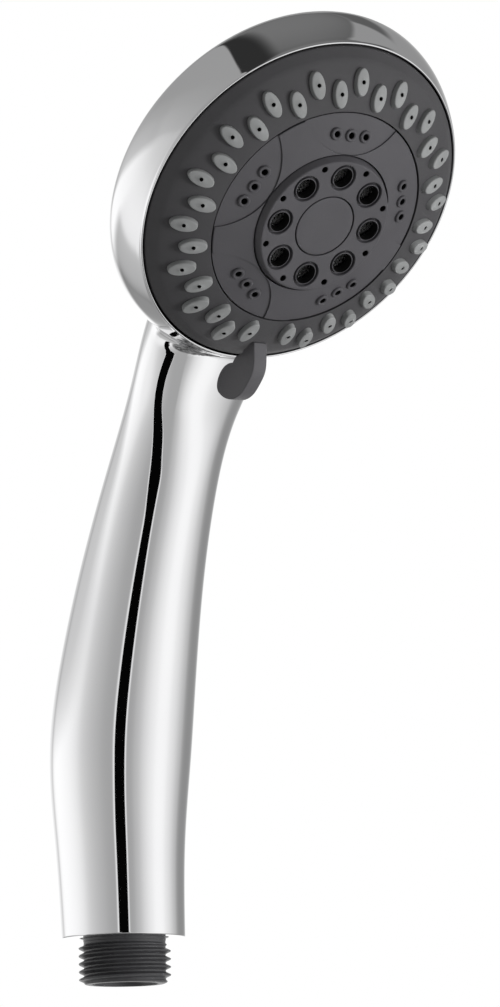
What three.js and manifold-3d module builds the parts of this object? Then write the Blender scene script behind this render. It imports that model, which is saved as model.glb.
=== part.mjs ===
// Handheld shower head with a lever-selected, five-function spray face.
//
// Millimetres, +Z up.  The origin is the centre of the inlet thread's end face, +Z runs up
// the thread's axis, and X = 0 is the plane of symmetry.  The spray face looks towards -Y
// and is tilted downwards.  Everything in the head is drawn in the head's own frame: its
// +Z is the spray direction, its +Y points away from the handle, and its origin is the
// centre of the plane that holds the outer edge of the spray face.

import * as THREE from 'three';
import { mergeVertices } from 'three/addons/utils/BufferGeometryUtils.js';
import Module from 'manifold-3d';

const wasm = await Module();
wasm.setup();

// ---------------------------------------------------------------- driving dimensions

const GAP = 0.3; // clearance between neighbouring pieces
const WALL = 2.2; // wall of the chrome-plated body

// Inlet: G 1/2 male thread
const THREAD_MAJOR_R = 20.955 / 2;
const THREAD_MINOR_R = 18.631 / 2;
const THREAD_PITCH = 1.814;
const THREAD_LENGTH = 9.4;
const THREAD_RUN_OUT = 1.2;
const THREAD_START = 0.33; // height at which the first crest crosses the +X side
const PIPE_R = 9.4;
const INLET_BORE_R = 7.2;
const CONNECTOR_R = 9.8; // where it stands in the handle's end socket
const O_RING_GROOVE_R = 8.2;
const O_RING_GROOVE = [18.6, 21.2];
const CONNECTOR_TOP = 26;
const TUBE_SOCKET_R = 9;
const TUBE_SOCKET_TOP = 36;
const TUBE_SHOULDER_Z = 24;

// Handle: the section at each station is an oval, half as wide as `wide`, half as deep
// as `deep`, and square to the centre line through (y, z).
const HANDLE_END_Z = 10.5;
const HANDLE_END_CHAMFER = 0.4;
const END_SOCKET_R = 13;
const END_SOCKET_Y = 0.5; // the socket follows the handle, a little behind the thread
const END_SOCKET_BORE_R = 10.1;
const END_SOCKET_TOP = 24;
const HANDLE_STATIONS = [
  { y: 0.4, z: HANDLE_END_Z, wide: 14.1, deep: 14.1 },
  { y: 1.1, z: 32, wide: 14.9, deep: 14.9 },
  { y: 0.5, z: 52, wide: 16.4, deep: 15.8 },
  { y: -3.4, z: 72, wide: 16.0, deep: 14.8 },
  { y: -9.3, z: 92, wide: 14.7, deep: 13.1 },
  { y: -17.2, z: 112, wide: 13.5, deep: 11.2 },
  { y: -26.7, z: 130, wide: 13.6, deep: 10.2 },
];

// The same centre line inside the head, as places in the head's frame
const NECK_STATIONS = [
  { up: -48, out: -13.7, wide: 15.0, deep: 10.2 },
  { up: -36, out: -14.4, wide: 15.4, deep: 10.4 },
  { up: -20, out: -13, wide: 14, deep: 10 },
  { up: -8, out: -12, wide: 11, deep: 9 },
];

// Head: place and tilt of the spray face, and the body's rim and domed back
const FACE_CENTRE_Y = -72.63;
const FACE_CENTRE_Z = 169.57;
const FACE_TILT = THREE.MathUtils.degToRad(36.82);
const LIP_INNER_R = 39.5;
const LIP_OUTER_R = 40.0;
const RIM_R = 42.6;
const RIM_DEPTH = 9;
const RIM_CORNER_R = 4;
const DOME_DEPTH = 24;

// Spray face: ring, disc and boss.  Its front is a cone that rounds off towards the rim.
const FACE_OUT = 9.9;
const FACE_SLOPE = 0.26;
const FACE_ROUNDING = 2.25;
const RING_R = 39.1;
const RING_CHAMFER_R = 37;
const JOINT_R = 26.4;
const RING_THICKNESS = 2.2;
const SKIRT_DEPTH = 4;
const DISC_R = 26.1;
const DISC_THICKNESS = 2;
const BOSS_BASE_R = 16.8;
const BOSS_TOP_R = 16.1;
const BOSS_TOP_OUT = 11.4;
const BOSS_SKIRT_R = 15.9;
const BOSS_PLATE = 2.5;
const BOSS_SLEEVE_R = 7.4;
const CAP_R = 7.2;
const CAP_RECESS = 1.9;
const CAP_SPIGOT_R = 5.6;
const CAP_SPIGOT_BORE_R = 4.4;
const CAP_SPIGOT_END = 4.6;

// Rain nozzles: two staggered rows of ovals that stand through the ring
const NOZZLE_PITCH_DEG = 20;
const OUTER_ROW = { radius: 33.33, top: 5.98, firstDeg: 110, skipDeg: -90 };
const INNER_ROW = { radius: 30.75, top: 7.09, firstDeg: 100, skipDeg: null };
const NOZZLE_LENGTH = 6.3;
const NOZZLE_WIDTH = 3.3;
const NOZZLE_HOLE_R = 0.45;
const NOZZLE_PLACES = 36; // flats of the ring: one behind each nozzle
const HALF_PLACE = Math.PI / NOZZLE_PLACES;
const MAT_DROP = RING_THICKNESS + GAP;
const MAT_THICKNESS = 2.3;
const MAT_INNER_R = 26.8;
const MAT_OUTER_R = 36.7;

// Massage jets: three short tubes in each of five lens-shaped fields of the disc
const FIELD_COUNT = 5;
const FIELD_ARC_R = 16;
const FIELD_ARC_CENTRE_R = 33;
const FIELD_DEPTH = 0.35;
const JET_ROW_R = 21.45;
const JET_SPACING = 3.94;
const JET_R = 1.45;
const JET_HOLE_R = 0.75;
const JET_TOP_OUT = 8.9;

// Aerated jets and mist holes of the boss
const AERATED_COUNT = 8;
const AERATED_RING_R = 12.19;
const AERATED_HOLE_R = 2.4;
const AERATED_RECESS_R = 3.2;
const AERATED_RECESS_DEPTH = 1.1;
const SCREEN_INNER_R = 7.8;
const SCREEN_OUTER_R = 15.6;
const SCREEN_BACK = 8.1;
const SCREEN_FRONT = 8.5;
const MIST_RING_R = 14.83;
const MIST_HOLE_R = 0.72;

// Selector: five settings, 30 degrees apart
const SETTING_COUNT = 5;
const SETTING_STEP_DEG = 30;
const PORT_RING_R = 17;
const PORT_R = 2.6;
const DETENT_RING_R = 24;
const POCKET_ANGLE = -90;
const LEVER_THICKNESS = 3.7;
const LEVER_SLOT_END = 33;
const LEVER_SLOT_FLOOR = 2.2;

// Levels in the head, measured along the spray direction
const CHANNEL_R = 38.4;
const CHANNEL_FLOOR = -6;
const CHANNEL_FLOOR_TOP = -4.5;
const RAIN_WALL = { outer: 36, inner: 34.8, top: -2.2 };
const SHELF_WALL = { outer: 27.3, top: 1.3 };
const DISC_WALL = { outer: 26.2, inner: 24.9, top: 4.95 };
const PORT_PLATE_R = 26.8;
const PORT_PLATE_BACK = -8.4;
const PORT_PLATE_FRONT = -6.3;
const BASE_BACK = -11.4;
const BASE_FRONT = -9.4;
const PIVOT_R = 3.6;
const PIVOT_TOP = -3.3;
const BASE_R = 36.8;
const POCKET_R = 5;
const POCKET_WALL_R = 6.2;
const POCKET_FLOOR = -16.9;
const POCKET_BACK = -18.2;
const SPIGOT_OUT = -14.2;
const SPIGOT_R = 5.1;
const SPIGOT_BORE_R = 3.2;
const SPIGOT_END_UP = -52;
const WATERWAY_R = 6.8;
const WATERWAY_BORE_R = 5.7;
const BASE_SCREW_RING_R = 30;
const BASE_SCREW_COUNT = 4;
const SCREW_POST_R = 3.2;
const SCREW_POST_END = -15.8;
const SCREW_HOLE_R = 1.75;

// ---------------------------------------------------------------- finishes

function finish(colour, roughness, metalness) {
  return new THREE.MeshStandardMaterial({ color: colour, roughness, metalness });
}

const FINISHES = {
  chrome: finish(0xe6e7ea, 0.06, 1),
  ringPlastic: finish(0x444446, 0.5, 0),
  discPlastic: finish(0x575659, 0.45, 0),
  silicone: finish(0x85878a, 0.55, 0),
  darkPlastic: finish(0x3b3b3d, 0.5, 0),
  innerPlastic: finish(0xd8d8d4, 0.5, 0),
  acetal: finish(0xf0efe9, 0.4, 0),
  rubber: finish(0x1c1c1e, 0.8, 0),
  steel: finish(0xb8bbbf, 0.3, 1),
};

// ---------------------------------------------------------------- solids

// A closed body with shared vertices, free of the slivers that collapse at a pole.
function weld(geometry) {
  const bare = geometry.index ? geometry.toNonIndexed() : geometry.clone();
  bare.deleteAttribute('normal');
  bare.deleteAttribute('uv');
  const merged = mergeVertices(bare, 1e-4);
  const corners = [];
  const index = merged.index.array;
  for (let i = 0; i < index.length; i += 3) {
    const [a, b, c] = [index[i], index[i + 1], index[i + 2]];
    if (a !== b && b !== c && c !== a) corners.push(a, b, c);
  }
  if (signedVolume(merged.attributes.position, corners) < 0) corners.reverse();
  merged.setIndex(corners);
  return merged;
}

function signedVolume(position, corners) {
  const [a, b, c] = [new THREE.Vector3(), new THREE.Vector3(), new THREE.Vector3()];
  let sum = 0;
  for (let i = 0; i < corners.length; i += 3) {
    a.fromBufferAttribute(position, corners[i]);
    b.fromBufferAttribute(position, corners[i + 1]);
    c.fromBufferAttribute(position, corners[i + 2]);
    sum += a.dot(b.cross(c));
  }
  return sum / 6;
}

function solid(geometry) {
  const welded = weld(geometry);
  return new wasm.Manifold(new wasm.Mesh({
    numProp: 3,
    vertProperties: new Float32Array(welded.attributes.position.array),
    triVerts: new Uint32Array(welded.index.array),
  }));
}

function asGeometry(body) {
  const mesh = body.getMesh();
  const geometry = new THREE.BufferGeometry();
  geometry.setAttribute('position', new THREE.BufferAttribute(mesh.vertProperties, 3));
  geometry.setIndex(new THREE.BufferAttribute(mesh.triVerts, 1));
  return geometry;
}

// The first geometry, joined with every geometry in `added`, less every one in `cut`.
function combine(first, { added = [], cut = [] }) {
  let body = solid(first);
  for (const geometry of added) body = body.add(solid(geometry));
  for (const geometry of cut) body = body.subtract(solid(geometry));
  return asGeometry(body);
}

// A solid of revolution about Z.  `outline` is a list of [radius, height] and closes on
// itself, unless it starts and ends on the axis.
function revolve(outline, segments = 36) {
  const points = outline.map(([radius, height]) => new THREE.Vector2(radius, height));
  const last = points[points.length - 1];
  if (points[0].x > 0 || last.x > 0) points.push(points[0].clone());
  return weld(new THREE.LatheGeometry(points, segments).rotateX(Math.PI / 2));
}

function cylinder(radius, low, high, segments = 24) {
  return revolve([[0, low], [radius, low], [radius, high], [0, high]], segments);
}

function tube(innerR, outerR, low, high, segments = 36) {
  return revolve([[innerR, low], [outerR, low], [outerR, high], [innerR, high]], segments);
}

function cone(lowR, highR, low, high, segments = 16) {
  return revolve([[0, low], [lowR, low], [highR, high], [0, high]], segments);
}

function oRing(radius, thickness, height, segments = 20) {
  return weld(new THREE.TorusGeometry(radius, thickness / 2, 6, segments)
    .translate(0, 0, height));
}

function extrude(shape, low, high, curveSegments = 12) {
  const settings = { depth: high - low, bevelEnabled: false, curveSegments };
  return new THREE.ExtrudeGeometry(shape, settings).translate(0, 0, low);
}

// Copies of a geometry round the Z axis, `radius` from it, one for each angle.
function aroundAxis(geometry, radius, anglesDeg) {
  return anglesDeg.map((angle) => geometry.clone()
    .translate(radius, 0, 0)
    .rotateZ(THREE.MathUtils.degToRad(angle)));
}

function evenAngles(count, firstDeg) {
  return Array.from({ length: count }, (_, i) => firstDeg + (i * 360) / count);
}

// A round-wire compression spring on Z with closed, flat-lying end turns.
function coilSpring(coilR, wireR, low, high, turns) {
  const stepsPerTurn = 8;
  const steps = turns * stepsPerTurn;
  const closedSteps = stepsPerTurn;
  const climb = (high - low - 2 * wireR) / (steps - closedSteps);
  const points = [];
  let height = low + wireR;
  for (let i = 0; i <= steps; i += 1) {
    const angle = (i / stepsPerTurn) * Math.PI * 2;
    points.push(new THREE.Vector3(coilR * Math.cos(angle), coilR * Math.sin(angle), height));
    const isEndTurn = i < closedSteps / 2 || i >= steps - closedSteps / 2;
    height += isEndTurn ? 0.06 * climb : climb;
  }
  const overshoot = points[steps].z - (high - wireR);
  for (const point of points) point.z -= (overshoot * (point.z - low)) / (high - low);
  const wire = new THREE.Shape().absarc(0, 0, wireR, 0, Math.PI * 2);
  return weld(new THREE.ExtrudeGeometry(wire, {
    steps,
    curveSegments: 2,
    bevelEnabled: false,
    extrudePath: new THREE.CatmullRomCurve3(points),
  }));
}

// ---------------------------------------------------------------- frames

const headFrame = new THREE.Group();
headFrame.position.set(0, FACE_CENTRE_Y, FACE_CENTRE_Z);
headFrame.rotation.x = Math.PI / 2 + FACE_TILT;
headFrame.updateMatrix();

// The centre line of handle and neck, from the handle's open end into the head
const stations = [
  ...HANDLE_STATIONS.map(({ y, z, wide, deep }) => ({
    centre: new THREE.Vector3(0, y, z), wide, deep,
  })),
  ...NECK_STATIONS.map(({ up, out, wide, deep }) => ({
    centre: new THREE.Vector3(0, up, out).applyMatrix4(headFrame.matrix), wide, deep,
  })),
];
const centreLine = new THREE.CatmullRomCurve3(stations.map(({ centre }) => centre));
const girths = stations.map(({ wide, deep }) => new THREE.Vector2(wide, deep));
const girth = new THREE.SplineCurve(girths);

// One oval section of the handle at `t` along the centre line, drawn in by `inset` and
// moved by `slide` along the line.  The open end is cut level.
function handleSection(t, inset, segments, slide = 0) {
  const centre = centreLine.getPoint(t);
  const along = t > 0 ? centreLine.getTangent(t) : new THREE.Vector3(0, 0, 1);
  const across = new THREE.Vector3(1, 0, 0);
  const forward = new THREE.Vector3().crossVectors(along, across).normalize();
  const { x: wide, y: deep } = girth.getPoint(t);
  return Array.from({ length: segments }, (_, i) => {
    const angle = (i / segments) * Math.PI * 2;
    return centre.clone()
      .addScaledVector(across, (wide - inset) * Math.cos(angle))
      .addScaledVector(forward, (deep - inset) * Math.sin(angle))
      .addScaledVector(along, slide);
  });
}

// A solid skinned over rings of points, flat at both ends.
function skin(rings) {
  const count = rings[0].length;
  const middle = (ring) => ring
    .reduce((sum, point) => sum.add(point), new THREE.Vector3())
    .divideScalar(count);
  const faces = [];
  for (let i = 0; i < count; i += 1) {
    const j = (i + 1) % count;
    for (let k = 0; k < rings.length - 1; k += 1) {
      const [a, b, c, d] = [rings[k][i], rings[k][j], rings[k + 1][j], rings[k + 1][i]];
      faces.push(a, b, c, a, c, d);
    }
    faces.push(middle(rings[0]), rings[0][j], rings[0][i]);
    const end = rings[rings.length - 1];
    faces.push(middle(end), end[i], end[j]);
  }
  return weld(new THREE.BufferGeometry().setFromPoints(faces));
}

function handleSolid(inset, firstRings, endT, segments, steps) {
  const rings = [...firstRings];
  for (let k = 1; k <= steps; k += 1) {
    rings.push(handleSection((endT * k) / steps, inset, segments));
  }
  return skin(rings);
}

// ---------------------------------------------------------------- body

// Radius and centre height of the sphere that the domed back follows, so that it meets
// the rim's rounded corner without a step.
function domeSphere() {
  const cornerX = RIM_R - RIM_CORNER_R;
  const cornerOut = -RIM_DEPTH;
  const reach = DOME_DEPTH + cornerOut;
  const radius = (cornerX ** 2 + reach ** 2 - RIM_CORNER_R ** 2) / (2 * (reach - RIM_CORNER_R));
  return { radius, centreOut: radius - DOME_DEPTH };
}

function outerHeadOutline() {
  const { radius, centreOut } = domeSphere();
  const cornerX = RIM_R - RIM_CORNER_R;
  const meet = Math.atan2(centreOut + RIM_DEPTH, cornerX);
  const outline = [[0, 0], [LIP_OUTER_R - 0.2, 0], [LIP_OUTER_R, -0.3]];
  const sideSteps = 3;
  for (let i = 1; i <= sideSteps; i += 1) {
    const f = i / sideSteps;
    const swell = Math.sin((f * Math.PI) / 2);
    outline.push([LIP_OUTER_R + (RIM_R - LIP_OUTER_R) * swell, -RIM_DEPTH * f]);
  }
  const cornerSteps = 3;
  for (let i = 1; i <= cornerSteps; i += 1) {
    const angle = (meet * i) / cornerSteps;
    outline.push([
      cornerX + RIM_CORNER_R * Math.cos(angle),
      -RIM_DEPTH - RIM_CORNER_R * Math.sin(angle),
    ]);
  }
  const domeSteps = 3;
  for (let i = 1; i <= domeSteps; i += 1) {
    const angle = meet + ((Math.PI / 2 - meet) * i) / domeSteps;
    outline.push([radius * Math.cos(angle), centreOut - radius * Math.sin(angle)]);
  }
  outline[outline.length - 1][0] = 0;
  return outline;
}

function innerHeadOutline() {
  const { radius, centreOut } = domeSphere();
  const innerR = radius - WALL;
  const first = Math.acos(LIP_INNER_R / innerR);
  const outline = [[0, 1], [LIP_INNER_R, 1]];
  const steps = 3;
  for (let i = 0; i <= steps; i += 1) {
    const angle = first + ((Math.PI / 2 - first) * i) / steps;
    outline.push([innerR * Math.cos(angle), centreOut - innerR * Math.sin(angle)]);
  }
  outline[outline.length - 1][0] = 0;
  return outline;
}

const screwAngles = evenAngles(BASE_SCREW_COUNT, 45);

function bodyShell() {
  const place = (geometry) => geometry.applyMatrix4(headFrame.matrix);
  const segments = 24;
  const openEnd = [
    handleSection(0, HANDLE_END_CHAMFER, segments),
    handleSection(0, 0, segments, HANDLE_END_CHAMFER),
  ];
  const outside = handleSolid(0, openEnd, 1, segments, 18);
  const hollowSegments = 18;
  const hollowEnd = [
    handleSection(0, WALL, hollowSegments, -1),
    handleSection(0, WALL, hollowSegments),
  ];
  const hollow = handleSolid(WALL, hollowEnd, 0.95, hollowSegments, 8);
  const screwPost = cylinder(SCREW_POST_R, SCREW_POST_END, BASE_BACK - GAP, 10);
  const screwHole = cylinder(SCREW_HOLE_R, SCREW_POST_END + 0.6, BASE_BACK, 8);
  const endSocket = cylinder(END_SOCKET_R, HANDLE_END_Z, END_SOCKET_TOP, segments)
    .translate(0, END_SOCKET_Y, 0);
  const endBore = cylinder(END_SOCKET_BORE_R, HANDLE_END_Z - 1, END_SOCKET_TOP + 1, segments);
  const shell = combine(outside, {
    added: [place(revolve(outerHeadOutline(), 40))],
    cut: [hollow, place(revolve(innerHeadOutline(), 28))],
  });
  return combine(shell, {
    added: [...aroundAxis(screwPost, BASE_SCREW_RING_R, screwAngles).map(place), endSocket],
    cut: [...aroundAxis(screwHole, BASE_SCREW_RING_R, screwAngles).map(place), endBore],
  });
}

// ---------------------------------------------------------------- inlet

// The thread is a round bar whose radius climbs and falls once per pitch along a helix.
function threadedBar() {
  const segments = 20;
  const stepsPerPitch = 4;
  const steps = Math.round((THREAD_LENGTH / THREAD_PITCH) * stepsPerPitch);
  const rings = [];
  for (let k = 0; k <= steps; k += 1) {
    const z = (THREAD_LENGTH * k) / steps;
    const fromEnd = Math.min(z, THREAD_LENGTH - z);
    const fade = Math.min(1, fromEnd / THREAD_RUN_OUT);
    rings.push(Array.from({ length: segments }, (_, i) => {
      const turn = i / segments;
      const climb = (z - THREAD_START) / THREAD_PITCH - turn;
      const crest = Math.abs(2 * (climb - Math.floor(climb)) - 1);
      const flank = THREE.MathUtils.clamp(1.5 * crest - 0.25, 0, 1);
      const radius = THREAD_MINOR_R + (THREAD_MAJOR_R - THREAD_MINOR_R) * flank * fade;
      const angle = turn * Math.PI * 2;
      return new THREE.Vector3(radius * Math.cos(angle), radius * Math.sin(angle), z);
    }));
  }
  return skin(rings);
}

function inletConnector() {
  const [grooveLow, grooveHigh] = O_RING_GROOVE;
  const upperBody = revolve([
    [0, THREAD_LENGTH - 0.4], [PIPE_R, THREAD_LENGTH - 0.4], [PIPE_R, HANDLE_END_Z],
    [CONNECTOR_R, HANDLE_END_Z + GAP], [CONNECTOR_R, grooveLow],
    [O_RING_GROOVE_R, grooveLow], [O_RING_GROOVE_R, grooveHigh], [CONNECTOR_R, grooveHigh],
    [CONNECTOR_R, CONNECTOR_TOP], [TUBE_SOCKET_R, CONNECTOR_TOP],
    [TUBE_SOCKET_R, TUBE_SOCKET_TOP], [0, TUBE_SOCKET_TOP],
  ], 20);
  return combine(threadedBar(), {
    added: [upperBody],
    cut: [
      cylinder(INLET_BORE_R, -1, 22, 16),
      cylinder(WATERWAY_BORE_R - 0.2, 20, TUBE_SHOULDER_Z + 1, 16),
      cylinder(WATERWAY_R + GAP, TUBE_SHOULDER_Z, TUBE_SOCKET_TOP + 1, 16),
    ],
  });
}

function perforatedDisc(low, high, holeR, holeRingR, holeCount, centreHoleR) {
  const hole = cylinder(holeR, low - 1, high + 1, 6);
  return combine(cylinder(INLET_BORE_R - GAP, low, high, 18), {
    cut: [
      ...aroundAxis(hole, holeRingR, evenAngles(holeCount, 0)),
      cylinder(centreHoleR, low - 1, high + 1, 8),
    ],
  });
}

function inletFilter() {
  return perforatedDisc(1.2, 2.2, 0.7, 4.2, 8, 0.9);
}

function flowRestrictor() {
  return perforatedDisc(3.5, 7, 0.8, 4.6, 6, 1.6);
}

// Check valve: a cage with a seat below and a guide for the poppet's stem above
function checkValveCage() {
  const guideArms = [0, 60, 120].map((angle) => new THREE.BoxGeometry(12, 1.4, 1.8)
    .translate(0, 0, 20.6)
    .rotateZ(THREE.MathUtils.degToRad(angle)));
  return combine(revolve([
    [3.6, 8.3], [6.9, 8.3], [6.9, 21.6], [5.6, 21.6], [5.6, 9.8], [3.6, 9.8],
  ], 18), {
    added: [...guideArms, cylinder(2.4, 19.7, 21.5, 8)],
    cut: [cylinder(1.4, 19, 22, 8)],
  });
}

function checkValvePoppet() {
  return revolve([[0, 10.9], [4.7, 10.9], [4.7, 11.9], [1.1, 12.6], [1.1, 20.4], [0, 20.4]], 16);
}

// Waterway: from the connector's socket, along the handle, onto the head's spigot
function waterwayTube() {
  const alongHandle = [0.4, 0.52, 0.62].map((t) => centreLine.getPoint(t));
  const inHead = (up) => new THREE.Vector3(0, up, SPIGOT_OUT).applyMatrix4(headFrame.matrix);
  const path = new THREE.CatmullRomCurve3([
    new THREE.Vector3(0, 0, TUBE_SHOULDER_Z + GAP),
    new THREE.Vector3(0, 0, TUBE_SOCKET_TOP),
    ...alongHandle,
    inHead(-58),
    inHead(-50),
    inHead(-42.5),
  ]);
  const section = new THREE.Shape().absarc(0, 0, WATERWAY_R, 0, Math.PI * 2);
  section.holes.push(new THREE.Path().absarc(0, 0, WATERWAY_BORE_R, 0, Math.PI * 2, true));
  return weld(new THREE.ExtrudeGeometry(section, {
    steps: 14,
    curveSegments: 5,
    bevelEnabled: false,
    extrudePath: path,
  }));
}

// ---------------------------------------------------------------- fixed parts of the head

function valveBase() {
  const plate = revolve([
    [0, BASE_BACK], [BASE_R, BASE_BACK], [BASE_R, BASE_FRONT], [PIVOT_R, BASE_FRONT],
    [PIVOT_R, PIVOT_TOP], [0, PIVOT_TOP],
  ], 32);
  const pocketWall = cylinder(POCKET_WALL_R, POCKET_BACK, BASE_BACK + 0.5, 16);
  const pocket = cylinder(POCKET_R, POCKET_FLOOR, BASE_FRONT + 1, 14);
  const screwHole = cylinder(SCREW_HOLE_R, BASE_BACK - 1, BASE_FRONT + 1, 8);
  const spigotLength = -SPIGOT_END_UP - PORT_RING_R;
  const alongNeck = (radius, length) => new THREE.CylinderGeometry(radius, radius, length, 14)
    .translate(0, -PORT_RING_R - length / 2, SPIGOT_OUT);
  return combine(plate, {
    added: [
      ...aroundAxis(pocketWall, PORT_RING_R, [POCKET_ANGLE]),
      alongNeck(SPIGOT_R, spigotLength),
      ...aroundAxis(cylinder(3.3, -16, BASE_BACK + 0.5, 10), DETENT_RING_R, [90]),
      cylinder(4.2, -13, BASE_BACK + 0.5, 12),
    ],
    cut: [
      ...aroundAxis(pocket, PORT_RING_R, [POCKET_ANGLE]),
      alongNeck(SPIGOT_BORE_R, spigotLength + 1),
      ...aroundAxis(cylinder(2.3, -15, BASE_FRONT + 1, 8), DETENT_RING_R, [90]),
      ...aroundAxis(screwHole, BASE_SCREW_RING_R, screwAngles),
      cylinder(1.9, -12, PIVOT_TOP + 1, 10),
    ],
  });
}

function panHeadScrew(headR, headHeight, shankR, length) {
  return revolve([
    [0, -length], [shankR, -length], [shankR, 0], [headR, 0],
    [headR, headHeight * 0.6], [headR * 0.7, headHeight], [0, headHeight],
  ], 12);
}

// Rubber cup that the water and its spring press against the turning port plate
function portSeal() {
  return revolve([
    [2.7, -12.3], [4.6, -12.3], [4.6, -8.75], [3.4, -8.75], [2.7, -9.4],
  ], 18);
}

function detentPlunger() {
  return revolve([
    [0, -12.2], [1.9, -12.2], [1.9, -9.7], [1.4, -9], [0.7, -8.75], [0, -8.75],
  ], 12);
}

// ---------------------------------------------------------------- spray face

// Front surface of the ring and the disc
function faceOut(radius) {
  const across = radius - BOSS_BASE_R;
  const rounding = (across / (RING_CHAMFER_R - BOSS_BASE_R)) ** 4;
  return FACE_OUT - FACE_SLOPE * across - FACE_ROUNDING * rounding;
}

// Angle by which something that stands square to the front surface leans outwards
function faceLean(radius) {
  return Math.atan((faceOut(radius - 0.1) - faceOut(radius + 0.1)) / 0.2);
}

// Points along the front surface, or `depth` behind it
function faceLine(fromR, toR, steps, depth = 0) {
  return Array.from({ length: steps + 1 }, (_, i) => {
    const radius = fromR + ((toR - fromR) * i) / steps;
    return [radius, faceOut(radius) - depth];
  });
}

function nozzleAngles({ firstDeg, skipDeg }) {
  const count = 360 / NOZZLE_PITCH_DEG;
  return Array.from({ length: count }, (_, i) => firstDeg - NOZZLE_PITCH_DEG * i)
    .filter((angle) => angle !== skipDeg);
}

// Oval columns that lean outwards, one per nozzle of a row; `low` and `high` are measured
// from the nozzle's top.
function nozzlePosts(row, grow, low, high) {
  const shape = new THREE.Shape();
  shape.absellipse(0, 0, NOZZLE_LENGTH / 2 + grow, NOZZLE_WIDTH / 2 + grow, 0, Math.PI * 2);
  return leaning(row, extrude(shape, low, high, 4));
}

function leaning(row, geometry) {
  const standing = geometry.clone().rotateY(faceLean(row.radius)).translate(0, 0, row.top);
  return aroundAxis(standing, row.radius, nozzleAngles(row));
}

function outerRing() {
  const innerR = JOINT_R + 0.05;
  const shoulderR = RING_R - 2;
  const ring = revolve([
    [RING_R, -SKIRT_DEPTH], [RING_R, 0],
    ...faceLine(RING_CHAMFER_R, innerR, 3),
    ...faceLine(innerR, shoulderR, 2, RING_THICKNESS),
    [shoulderR, -SKIRT_DEPTH],
  ], NOZZLE_PLACES).rotateZ(HALF_PLACE);
  const slot = new THREE.BoxGeometry(LEVER_THICKNESS + 2 * GAP, 12, 8)
    .translate(0, -LEVER_SLOT_END - 6, LEVER_SLOT_FLOOR + 4);
  return combine(ring, {
    cut: [
      ...nozzlePosts(OUTER_ROW, GAP, -10, 6),
      ...nozzlePosts(INNER_ROW, GAP, -10, 6),
      slot,
    ],
  });
}

function nozzleMat() {
  const base = revolve([
    ...faceLine(MAT_INNER_R, MAT_OUTER_R, 2, MAT_DROP + MAT_THICKNESS),
    ...faceLine(MAT_OUTER_R, MAT_INNER_R, 2, MAT_DROP),
  ], NOZZLE_PLACES).rotateZ(HALF_PLACE);
  const rows = [OUTER_ROW, INNER_ROW];
  const hole = cylinder(NOZZLE_HOLE_R, -10, 1, 4);
  const bore = cylinder(MAT_INNER_R - GAP, -10, DISC_WALL.top, NOZZLE_PLACES);
  const footOf = (row) => faceOut(row.radius) - MAT_DROP - 0.9 - row.top;
  return combine(base, {
    added: rows.flatMap((row) => nozzlePosts(row, 0, footOf(row), 0)),
    cut: [bore, ...rows.flatMap((row) => leaning(row, hole))],
  });
}

// The lever is a flat fin that stands square to the face.  Its side view is drawn with
// the distance from the face's axis and the height along that axis.
function selectorLever() {
  const fin = new THREE.Shape();
  fin.moveTo(LEVER_SLOT_END + GAP, faceOut(LEVER_SLOT_END + GAP) + 0.6);
  fin.quadraticCurveTo(38.5, 8.9, 43.2, 8);
  fin.bezierCurveTo(47.8, 7.2, 49.8, 2.8, 49.3, -0.4);
  fin.bezierCurveTo(48.9, -2.6, 45.6, -3.0, 43.4, -1.9);
  fin.quadraticCurveTo(42.0, -1.2, 41.1, 0.4);
  fin.lineTo(39.3, 0.7);
  fin.lineTo(37.2, LEVER_SLOT_FLOOR + GAP);
  fin.lineTo(LEVER_SLOT_END + GAP, LEVER_SLOT_FLOOR + GAP);
  fin.closePath();
  const standing = extrude(fin, -LEVER_THICKNESS / 2, LEVER_THICKNESS / 2, 5);
  const basis = new THREE.Matrix4().makeBasis(
    new THREE.Vector3(0, -1, 0),
    new THREE.Vector3(0, 0, 1),
    new THREE.Vector3(-1, 0, 0),
  );
  return weld(standing.applyMatrix4(basis));
}

const fieldAngles = evenAngles(FIELD_COUNT, 90);
const jetOffsets = [-JET_SPACING, 0, JET_SPACING];

// One copy of `geometry` at each massage jet, with its height 0 at the jet's tip
function atJets(geometry) {
  const standing = geometry.clone().rotateY(faceLean(JET_ROW_R)).translate(0, 0, JET_TOP_OUT);
  return fieldAngles.flatMap((angle) => jetOffsets.map((offset) => standing.clone()
    .translate(JET_ROW_R, offset, 0)
    .rotateZ(THREE.MathUtils.degToRad(angle))));
}

function discFieldOutline() {
  const outerR = DISC_R + 1;
  return [
    ...faceLine(outerR, BOSS_BASE_R, 2, FIELD_DEPTH),
    [BOSS_BASE_R, BOSS_TOP_OUT], [outerR, BOSS_TOP_OUT],
  ];
}

function innerDisc() {
  const innerR = BOSS_BASE_R + GAP;
  const disc = revolve([
    ...faceLine(innerR, DISC_R, 1, DISC_THICKNESS),
    ...faceLine(DISC_R, innerR, 2),
  ], 36);
  const lens = new THREE.Shape().absarc(0, 0, FIELD_ARC_R, 0, Math.PI * 2);
  const lensColumns = aroundAxis(extrude(lens, 4, 13, 12), FIELD_ARC_CENTRE_R, fieldAngles);
  const aboveFields = solid(revolve(discFieldOutline(), 36));
  let body = solid(disc);
  for (const column of lensColumns) {
    body = body.subtract(solid(column).intersect(aboveFields));
  }
  for (const jet of atJets(cylinder(JET_R, -1.5, 0, 7))) {
    body = body.add(solid(jet));
  }
  for (const hole of atJets(cylinder(JET_HOLE_R, -4, 1, 4))) {
    body = body.subtract(solid(hole));
  }
  return asGeometry(body);
}

const aeratedAngles = evenAngles(AERATED_COUNT, 90);
const mistAngles = evenAngles(AERATED_COUNT, 112.5);

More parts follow.
